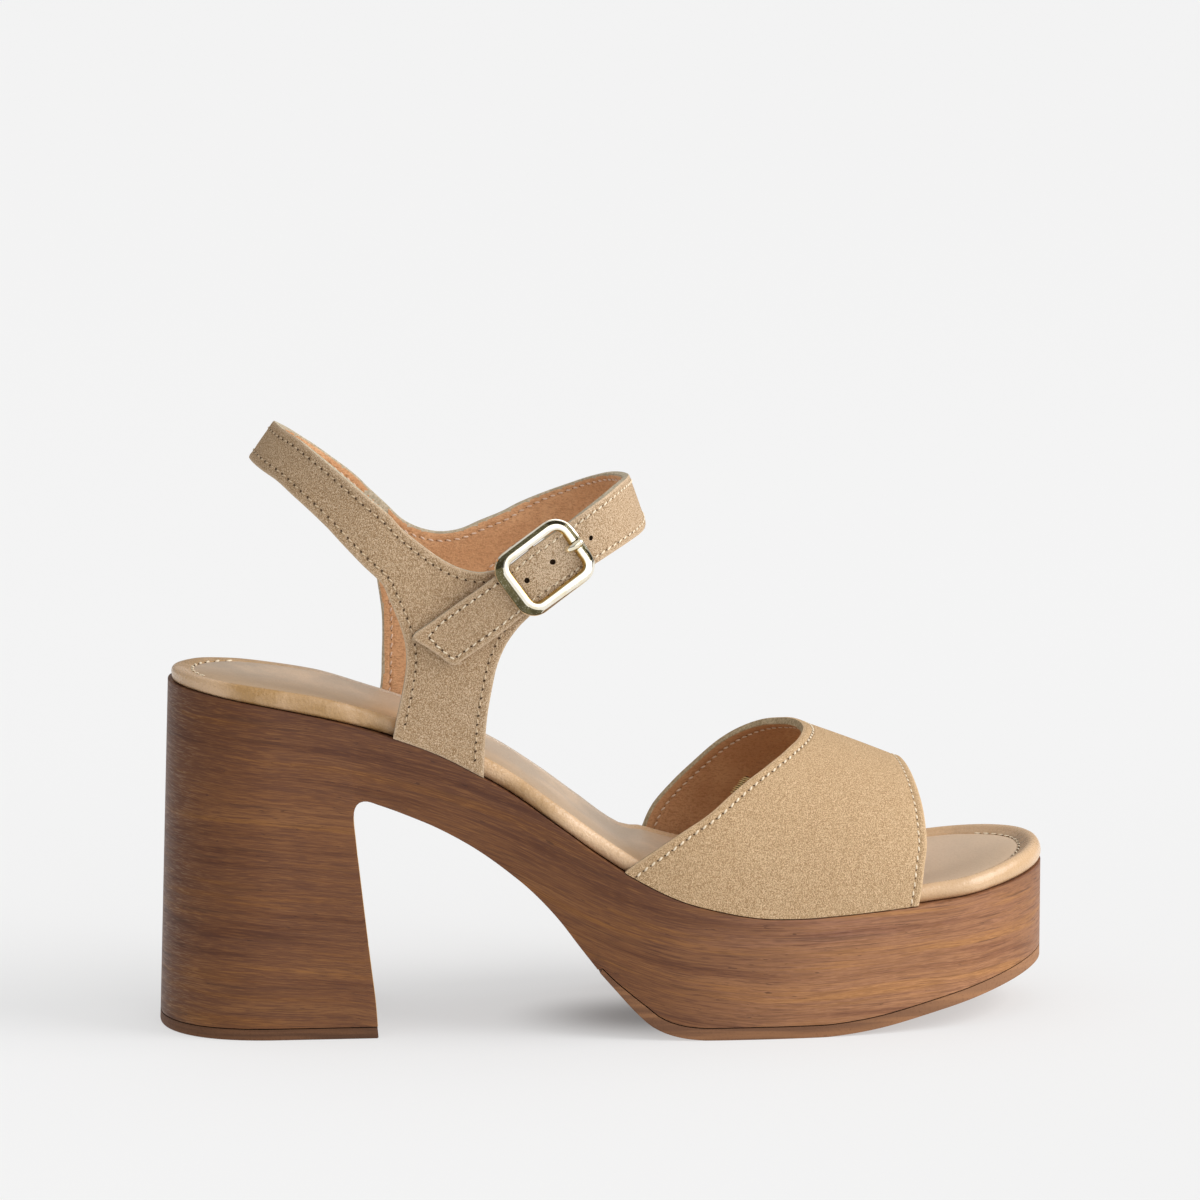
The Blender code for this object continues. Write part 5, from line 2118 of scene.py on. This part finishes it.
    def smooth(self, marks: Marks, step: float = 1.2) -> list[Vector]:
        """Smooth run of points along an edge.

        Args:
            marks: Rows of the edge.
            step: Distance between points.

        Returns:
            Points as length and height.
        """
        knots = [Vector((self.station(run, at), z)) for run, spots in marks for at, z in spots]
        chord = [0.0]
        for a, b in zip(knots, knots[1:]):
            chord.append(chord[-1] + (b - a).length)
        lengths = Table(tuple((s, k.x) for s, k in zip(chord, knots)))
        heights = Table(tuple((s, k.y) for s, k in zip(chord, knots)))
        count = max(round(chord[-1] / step), 2)
        return [
            Vector((lengths.at(chord[-1] * i / count), heights.at(chord[-1] * i / count)))
            for i in range(count + 1)
        ]

    def outline(self) -> tuple[list[Vector], list[list[Vector]]]:
        """Outline of the flat pattern.

        Returns:
            Closed outline, and the two runs of it that are stitched.
        """
        upper: list[Vector] = []
        for marks in (self.outer_front, self.top_edge, self.tail_end, self.low_edge):
            upper += self.smooth(marks)[:-1]
        low_front, low_back = LAST.bed(self.foot_front), LAST.bed(self.foot_back)
        upper[0].y = low_front
        upper.append(Vector((self.station(Run.INNER, self.foot_front), low_front)))
        lower = self.smooth(self.inner_back)
        lower[0].y = lower[-1].y = low_back
        foot = self.foot_back - self.foot_front
        feet = [self.foot_front + foot * i / self.foot_steps for i in range(1, self.foot_steps)]
        inner_foot = [Vector((self.station(Run.INNER, x), LAST.bed(x))) for x in feet]
        outer_foot = [Vector((self.station(Run.OUTER, x), LAST.bed(x))) for x in feet[::-1]]
        return upper + inner_foot + lower + outer_foot, [upper, lower]

    def seam_in(self, flat: Vector) -> float:
        """Distance of the seam from the edge: less on the strap than on the legs.

        Args:
            flat: Point of the flat pattern.

        Returns:
            Distance in millimetres.
        """
        slim = ease(self.station(Run.INNER, -26.0), self.station(Run.FRONT, 20.0), flat.x)
        slim *= 1.0 - ease(self.station(Run.OVER, -47.0), self.station(Run.OVER, -51.0), flat.x)
        back = hump(flat.x, self.station(Run.BACK, 90.0), 42.0) * ease(118.0, 134.0, flat.y)
        wide = self.seam_wide + (self.seam_back - self.seam_wide) * back
        return wide + (self.seam_slim - wide) * slim

    def seam_path(self, run: list[Vector], tree: KDTree) -> list[Vector]:
        """Path of a seam inside an edge.

        Args:
            run: Points of the edge.
            tree: All points of the outline.

        Returns:
            Points at the seam's distance from the edge.
        """
        path = []
        for i, point in enumerate(run):
            along = (run[min(i + 1, len(run) - 1)] - run[max(i - 1, 0)]).normalized()
            room = self.seam_in(point)
            spot = point + Vector((-along.y, along.x)) * room * self.turn
            if tree.find((spot.x, spot.y, 0.0))[2] > room * 0.95:
                path.append(spot)
        return path

    def build(self, finishes: Wardrobe, holes: Sequence[Hole]) -> None:
        """Builds the piece and its seams.

        Args:
            finishes: Materials.
            holes: Punched holes of the strap.
        """
        outline, runs = self.outline()
        area = sum(a.x * b.y - b.x * a.y for a, b in zip(outline, outline[1:] + outline[:1]))
        self.turn = 1.0 if area > 0.0 else -1.0
        dense = [
            a.lerp(b, t / 4.0) for a, b in zip(outline, outline[1:] + outline[:1]) for t in range(4)
        ]
        tree = KDTree(len(dense))
        for i, p in enumerate(dense):
            tree.insert((p.x, p.y, 0.0), i)
        tree.balance()
        work = bmesh.new()
        work.faces.new([work.verts.new((p.x, p.y, 0.0)) for p in outline])
        for wide in (0.25, 0.45):
            inner = max(work.faces, key=lambda f: len(f.verts))
            bmesh.ops.inset_region(
                work, faces=[inner], thickness=wide, use_boundary=True, use_even_offset=True
            )
        span = max(p.x for p in outline)
        cut_grid(
            work, [-12.0 + self.cell * i for i in range(int((span + 12.0) / self.cell) + 1)], 0
        )
        cut_grid(work, [66.0 + self.cell * i for i in range(76)], 1)
        raise_slab(work, self.wall)
        work = self.punch(work, holes)
        paths = [self.seam_path(run, tree) for run in runs]
        values = self.dress_flat(work, tree, paths, holes)
        for vert in work.verts:
            vert.co = self.bend(vert.co)
        finishes_here = [finishes.suede, finishes.lining, finishes.edge, finishes.hole]
        finish_piece("ankle_upper", work, finishes_here, ["ankle_straps"], 55.0, values)
        thread = bmesh.new()
        for path in paths:
            self.sew(thread, path)
        threads = [finishes.dull_thread, finishes.hole, finishes.lining_thread, finishes.thread]
        finish_piece("ankle_thread", thread, threads, (), 60.0)

    def sew(self, work: bmesh.types.BMesh, path: list[Vector]) -> None:
        """Sews one run of the edge on both faces.

        Args:
            work: Mesh that gets the stitches.
            path: Flat points of the seam.
        """
        leg = Seam()
        strap = Seam(long=1.6, wide=0.56, high=0.5, slant=0.28, hole_long=0.24, hole_wide=0.16)
        for k, (flat, along) in enumerate(leg.marks(path)):
            inner = self.bend(Vector((flat.x, flat.y, 0.0)))
            outer = self.bend(Vector((flat.x, flat.y, self.wall)))
            step = flat + along * 0.4
            ahead = (self.bend(Vector((step.x, step.y, self.wall))) - outer).normalized()
            out = (outer - inner).normalized()
            if self.station(Run.FRONT, 10.0) < flat.x < self.station(Run.OVER, -31.0):
                strap.lay(work, outer, ahead, out, k, 3)
            else:
                leg.lay(
                    work, outer, ahead, out, k, 3 if flat.x > self.station(Run.FRONT, 10.0) else 0
                )
            LINING_SEAM.lay(work, inner, ahead, -out, k + 3, 2)

    def punch(self, work: bmesh.types.BMesh, holes: Sequence[Hole]) -> bmesh.types.BMesh:
        """Punches the strap's holes while it is flat.

        Args:
            work: Flat slab; it is freed.
            holes: Punched holes of the strap.

        Returns:
            Punched slab.
        """
        tool = bmesh.new()
        for hole in holes:
            spot = Matrix.Translation((self.station(Run.OVER, hole.x), hole.z, hole.floor + 4.0))
            bmesh.ops.create_cone(
                tool, cap_ends=True, segments=24, radius1=hole.radius, radius2=hole.radius,
                depth=8.0, matrix=spot,
            )
        return boolean(work, tool, Cut.DIFFERENCE)

    def dress_flat(
        self, work: bmesh.types.BMesh, tree: KDTree, paths: list[list[Vector]], holes: Sequence[
            Hole
        ]
    ) -> dict[str, list]:
        """Gives faces their finish and rims their rounding, while flat.

        Args:
            work: Flat slab.
            tree: All points of the outline.
            paths: Flat points of the seams.
            holes: Punched holes of the strap.

        Returns:
            Distance of each vertex from the nearest cut edge and seam, and its painted light.
        """
        seams = KDTree(sum(len(path) * 4 for path in paths))
        for path in paths:
            for a, b in zip(path, path[1:] + path[-1:]):
                for t in range(4):
                    q = a.lerp(b, t / 4.0) if (b - a).length < 4.0 else a
                    seams.insert((q.x, q.y, 0.0), 0)
        seams.balance()
        for face in work.faces:
            middle = face.calc_center_median()
            tab = self.tab[2] if self.tab[0] < middle.x < self.tab[1] and middle.y > 128.0 else 0.0
            bare = tree.find((middle.x, middle.y, 0.0))[2] < self.trim + tab
            face.material_index = (
                0 if middle.z > self.wall - 0.01 else 1 if middle.z < 0.01 and not bare else 2
            )
            # Painted shade: the punched holes' walls take the dark hole finish.
            for hole in holes:
                away = math.dist((middle.x, middle.y), (self.station(Run.OVER, hole.x), hole.z))
                if away < hole.radius + 0.05 and 0.01 < middle.z < self.wall - 0.01:
                    face.material_index = 3
        values: dict[str, list] = {"edge": [], "seam": [], "rub": []}
        centre = (self.station(Run.OVER, self.bulge[0]), self.window_z)
        for vert in work.verts:
            flat = (vert.co.x, vert.co.y, 0.0)
            away, line = tree.find(flat)[2], seams.find(flat)[2]
            # Painted light in the buckle's window: the suede there is made lighter.
            values["rub"].append(ease(11.0, 6.5, math.dist((vert.co.x, vert.co.y), centre)))
            values["edge"].append(away)
            values["seam"].append(line)
            soft = max(1.0 - away / 0.65, 0.0) ** 2
            if vert.co.z > self.wall / 2.0:
                vert.co.z += 0.06 * hump(away, 1.0, 0.6) - 0.2 * soft - 0.12 * hump(line, 0.0, 0.6)
            else:
                vert.co.z += 0.2 * soft
        return values


@dataclass
class Buckle:
    """Gold frame with its hidden centre bar, and the prong that lies on it."""

    at: tuple[float, float] = (-19.15, 128.55)
    turn: float = 36.0
    long: float = 24.6
    wide: float = 19.6
    bar: float = 3.1
    thick: float = 1.8
    corner: float = 5.6
    shoulder: float = 1.2
    slope: float = 0.9
    rim: float = 0.45
    lean_right: float = 0.85
    lean_left: float = 0.3
    lean_low: float = 0.45
    lean_high: float = 0.25
    wide_left: float = 1.5
    window_left: float = 1.1
    window_right: float = 0.35
    thin_low: float = 0.55
    dome: float = 0.35
    tilt: float = 0.1
    lift: float = AnklePiece.over_y + AnklePiece.wall + GAP + 0.1
    strap_face: float = AnklePiece.over_y + AnklePiece.wall + 0.15
    bar_r: float = 0.9
    post: float = 8.4
    under: float = AnklePiece.ring_r + AnklePiece.wall
    holes: tuple[Hole, ...] = (
        Hole(-23.6, 125.0, 0.75), Hole(-17.15, 129.9, 0.75),
        Hole(-12.9, 133.09, 0.98, -2.0), Hole(-7.4, 135.9, 0.7),
    )
    notch: float = 1.25
    prong_r: float = 1.0
    prong_line: Rows = (
        (8.3, -0.45), (9.4, 0.1), (10.6, 0.1), (11.2, 0.05), (11.7, -0.2), (12.0, -0.55),
    )

    def matrix(self) -> Matrix:
        """Buckle's own axes, along, across and away, to the shoe's.

        Returns:
            Matrix that places the buckle.
        """
        turn = math.radians(self.turn)
        along = Vector((math.cos(turn), 0.0, math.sin(turn)))
        across = Vector((-math.sin(turn), 0.0, math.cos(turn)))
        axes = Matrix((along, across, Vector((0.0, -1.0, 0.0)))).transposed().to_4x4()
        return Matrix.Translation((self.at[0], 0.0, self.at[1])) @ axes

    def level(self, a: float, c: float) -> float:
        """Height of the frame's underside.

        Args:
            a: Place along the frame.
            c: Place across it.

        Returns:
            Distance from the shoe's middle.
        """
        turn = math.radians(self.turn)
        up = c * math.cos(turn) + a * math.sin(turn)
        return self.lift + self.dome * (1.0 - (2.0 * a / self.long) ** 2) - self.tilt * up

    def plate(self) -> bmesh.types.BMesh:
        """Flat frame with two lines inside its outline: the shoulder's and the window's.

        Returns:
            Flat sheet; the shoulder is wide on the left bar and thin on the lower one.
        """
        work = bmesh.new()
        bmesh.ops.create_grid(work, x_segments=1, y_segments=1, size=0.5)
        bmesh.ops.scale(work, vec=(self.long, self.wide, 1.0), verts=work.verts)
        bmesh.ops.bevel(
            work, geom=work.verts[:], offset=self.corner, offset_type="OFFSET", affect="VERTICES",
            segments=10, profile=0.5, material=-1, clamp_overlap=True,
        )
        outer = set(work.verts)
        for wide in (self.shoulder, self.bar - self.shoulder):
            inner = max(work.faces, key=lambda f: len(f.verts))
            bmesh.ops.inset_region(
                work, faces=[inner], thickness=wide, use_boundary=True, use_even_offset=True
            )
        inner = max(work.faces, key=lambda f: len(f.verts))
        window = set(inner.verts)
        for vert in work.verts:
            left, right = (
                ease(0.0, -self.long * 0.4, vert.co.x), ease(0.0, self.long * 0.4, vert.co.x)
            )
            if vert in window:
                vert.co.x += self.window_left * left + self.window_right * right
            elif vert not in outer:
                vert.co.y -= (
                    self.thin_low
                    * ease(-self.wide * 0.2, -self.wide * 0.4, vert.co.y)
                    * (1.0 - left)
                )
                vert.co.x += self.wide_left * left
        bmesh.ops.delete(work, geom=[inner], context="FACES_ONLY")
        return work

    def ring(self) -> bmesh.types.BMesh:
        """Rounded frame with a sloped shoulder and a notch for the prong.

        Returns:
            Closed mesh in the buckle's own axes.
        """
        work = self.plate()
        raise_slab(work, self.thick)
        bmesh.ops.recalc_face_normals(work, faces=work.faces)
        self.lean(work)
        for vert in work.verts:
            if vert.co.z > self.thick / 2.0 and self.depth(vert.co) > -0.05:
                vert.co.x *= 1.0 - 2.0 * self.rim / self.long
                vert.co.y *= 1.0 - 2.0 * self.rim / self.wide
                vert.co.z -= self.slope
        work.normal_update()
        rims = [e for e in work.edges if len(e.link_faces) == 2 and e.calc_face_angle(0.0) > 0.32]
        bmesh.ops.bevel(
            work, geom=rims, offset=0.28, offset_type="OFFSET", affect="EDGES", segments=3,
            profile=0.5, material=-1, clamp_overlap=True,
        )
        notch = bmesh.new()
        lay = (
            Matrix.Translation((self.long / 2.0, 0.0, self.thick + 0.35))
            @ Matrix.Rotation(math.pi / 2.0, 4, "Y")
        )
        bmesh.ops.create_cone(
            notch, cap_ends=True, segments=20, radius1=self.notch, radius2=self.notch,
            depth=8.0, matrix=lay,
        )
        work = boolean(work, notch, Cut.DIFFERENCE)
        bmesh.ops.recalc_face_normals(work, faces=work.faces)
        # Painted reflections: the faces take the pale plate or its darker and warmer copies by
        # their facing.
        for face in work.faces:
            middle, out = face.calc_center_median(), face.normal
            outward = out.x * middle.x + out.y * middle.y > 0.0
            side = (
                2 if not outward else 0 if out.z < 0.55 else 3 if middle.x > 0.3 * self.long else 1
            )
            painted_highlight = middle.x > self.long / 2.0 - 3.5 and abs(middle.y) < 1.3 and abs(out.y) > 0.4
            painted_highlight = (
                painted_highlight or outward and middle.y < -0.3 * self.wide and middle.x > -0.3 * self.long
            )
            face.material_index = 0 if out.z > 0.95 or painted_highlight else side
        for vert in work.verts:
            vert.co.z = max(vert.co.z + self.level(vert.co.x, vert.co.y), self.strap_face)
        return work

    def lean(self, work: bmesh.types.BMesh) -> None:
        """Leans the window's walls, so that their feet stand further in than their tops.

        Args:
            work: Frame with square walls.
        """
        feet: dict[bmesh.types.BMVert, Vector] = {}
        for face in work.faces:
            middle, out = face.calc_center_median(), face.normal
            if abs(out.z) < 0.1 and out.x * middle.x + out.y * middle.y < 0.0:
                for vert in face.verts:
                    if vert.co.z < self.thick / 2.0:
                        feet[vert] = feet.get(vert, Vector()) + out
        for vert, out in feet.items():
            way = out.normalized()
            vert.co.x += way.x * (self.lean_right if way.x < 0.0 else self.lean_left)
            vert.co.y += way.y * (self.lean_low if way.y > 0.0 else self.lean_high)

    def depth(self, spot: Vector) -> float:
        """Distance of a place from the frame's outline, less than 0 inside it."""
        over = (
            abs(spot.x) - self.long / 2.0 + self.corner, abs(spot.y) - self.wide / 2.0 + self.corner
        )
        return math.hypot(max(over[0], 0.0), max(over[1], 0.0)) + min(max(over), 0.0) - self.corner

    def build(self, finishes: Wardrobe) -> None:
        """Builds the frame and the prong.

        Args:
            finishes: Materials.
        """
        frame_work = self.ring()
        level = self.under + GAP + self.bar_r
        staple = [Vector(p) for p in (
            (0.0, -self.post, self.level(0.0, -self.post) + 0.6), (0.0, -self.post, level),
            (0.0, self.post, level),
            (0.0, self.post, self.level(0.0, self.post) + 0.6))]
        join(frame_work, sweep(staple, self.bar_r, 12))
        bmesh.ops.transform(frame_work, matrix=self.matrix(), verts=frame_work.verts)
        golds = [finishes.gold, finishes.painted_dark_reflection_gold, finishes.painted_warm_reflection_gold, finishes.shaded_gold]
        finish_piece("buckle_ring", frame_work, golds, ["buckle_frame"], 60.0)
        path = [
            Vector((a, 0.0, h))
            for a, h in ((2.0, level), (5.6, level + 0.2), (7.55, 34.4), (7.8, 36.8))
        ]
        for a, over in self.prong_line:
            path.append(Vector((a, 0.0, self.level(a, 0.0) + self.thick + over)))
        prong = sweep(path, self.prong_r, 14, 0.6)
        bmesh.ops.transform(prong, matrix=self.matrix(), verts=prong.verts)
        finish_piece("prong", prong, [finishes.gold], ["buckle_prong"], 60.0)


@dataclass
class Studio:
    """Pale floor, soft light and the camera."""

    place: tuple[float, float, float] = (-0.17995, -1.7022, 0.3935)
    pitch: float = 9.3
    yaw: float = 6.0
    lens: float = 192.0
    lamp_distance: float = 1.3
    lamp_size: float = 1.0
    panels: tuple[tuple[Colour, float, float, float], ...] = (
        ((0.62, -0.74, 0.26), 0.72, 0.92, 0.55), ((0.2, -0.96, 0.15), 0.9, 0.97, 1.25))

    def build(self) -> None:
        """Sets the stage."""
        self.camera()
        work = bmesh.new()
        bmesh.ops.create_grid(work, x_segments=2, y_segments=2, size=30.0)
        mesh = bpy.data.meshes.new("floor")
        work.to_mesh(mesh)
        work.free()
        mesh.materials.append(PaleFloor().make())
        floor = bpy.data.objects.new("floor", mesh)
        bpy.context.scene.collection.objects.link(floor)
        self.sky()
        self.lamp("key_light", (0.78, -0.26, 0.57), 12.9)

    def camera(self) -> None:
        """Places the camera at the photograph's angle."""
        data = bpy.data.cameras.new("camera")
        data.lens = self.lens
        data.sensor_width = 36.0
        data.clip_end = 100.0
        pitch, yaw = math.radians(self.pitch), math.radians(self.yaw)
        ahead = Vector(
            (math.sin(yaw) * math.cos(pitch), math.cos(yaw) * math.cos(pitch), -math.sin(pitch))
        )
        right = Vector((math.cos(yaw), -math.sin(yaw), 0.0))
        axes = Matrix((right, right.cross(ahead), -ahead)).transposed().to_4x4()
        camera = bpy.data.objects.new("camera", data)
        camera.matrix_world = Matrix.Translation(self.place) @ axes
        bpy.context.scene.collection.objects.link(camera)
        bpy.context.scene.camera = camera

    def lamp(self, name: str, towards: tuple[float, float, float], power: float) -> None:
        """Adds a broad round light on one side.

        Args:
            name: Name of the light.
            towards: Direction from the shoe to the light.
            power: Strength of the light.
        """
        data = bpy.data.lights.new(name, "AREA")
        data.shape = "DISK"
        data.size = self.lamp_size
        data.energy = power
        light = bpy.data.objects.new(name, data)
        light.location = Vector(towards).normalized() * self.lamp_distance
        light.rotation_euler = Vector(towards).to_track_quat("Z", "Y").to_euler()
        bpy.context.scene.collection.objects.link(light)

    def sky(self) -> None:
        """Soft tent of light, brightest overhead."""
        world = bpy.data.worlds.new("light_tent")
        bpy.context.scene.world = world
        graph = Graph(world)
        way = graph.add("ShaderNodeTexCoord", out="Generated")
        height = graph.add("ShaderNodeSeparateXYZ", None, {0: way}, out="Z")
        level = 0.2 + height.span(0.0, 0.9, 0.0, 0.5)
        for aim, low, high, power in self.panels:
            way_to = tuple(Vector(aim).normalized())
            facing = graph.add(
                "ShaderNodeVectorMath",
                {"operation": "DOT_PRODUCT"},
                {0: way, 1: way_to},
                out="Value",
            )
            level = level + facing.span(low, high, 0.0, power)
        self.glow(graph, level)

    def glow(self, graph: Graph, level: Wire) -> None:
        """Links a brightness to the world's output."""
        shader = graph.add(
            "ShaderNodeBackground", None, {"Color": (1.0, 1.0, 1.0, 1.0), "Strength": level}
        )
        graph.close("ShaderNodeOutputWorld", shader)


def main() -> None:
    """Builds the stage and every piece in order."""
    logging.basicConfig(level=logging.INFO, format="%(message)s")
    bpy.context.scene.view_settings.view_transform = "Standard"
    Studio().build()
    finishes = Wardrobe()
    PlatformSole().build(finishes)
    Footbed().build(finishes)
    Vamp().build(finishes)
    buckle = Buckle()
    AnklePiece().build(finishes, buckle.holes)
    buckle.build(finishes)


if __name__ == "__main__":
    main()
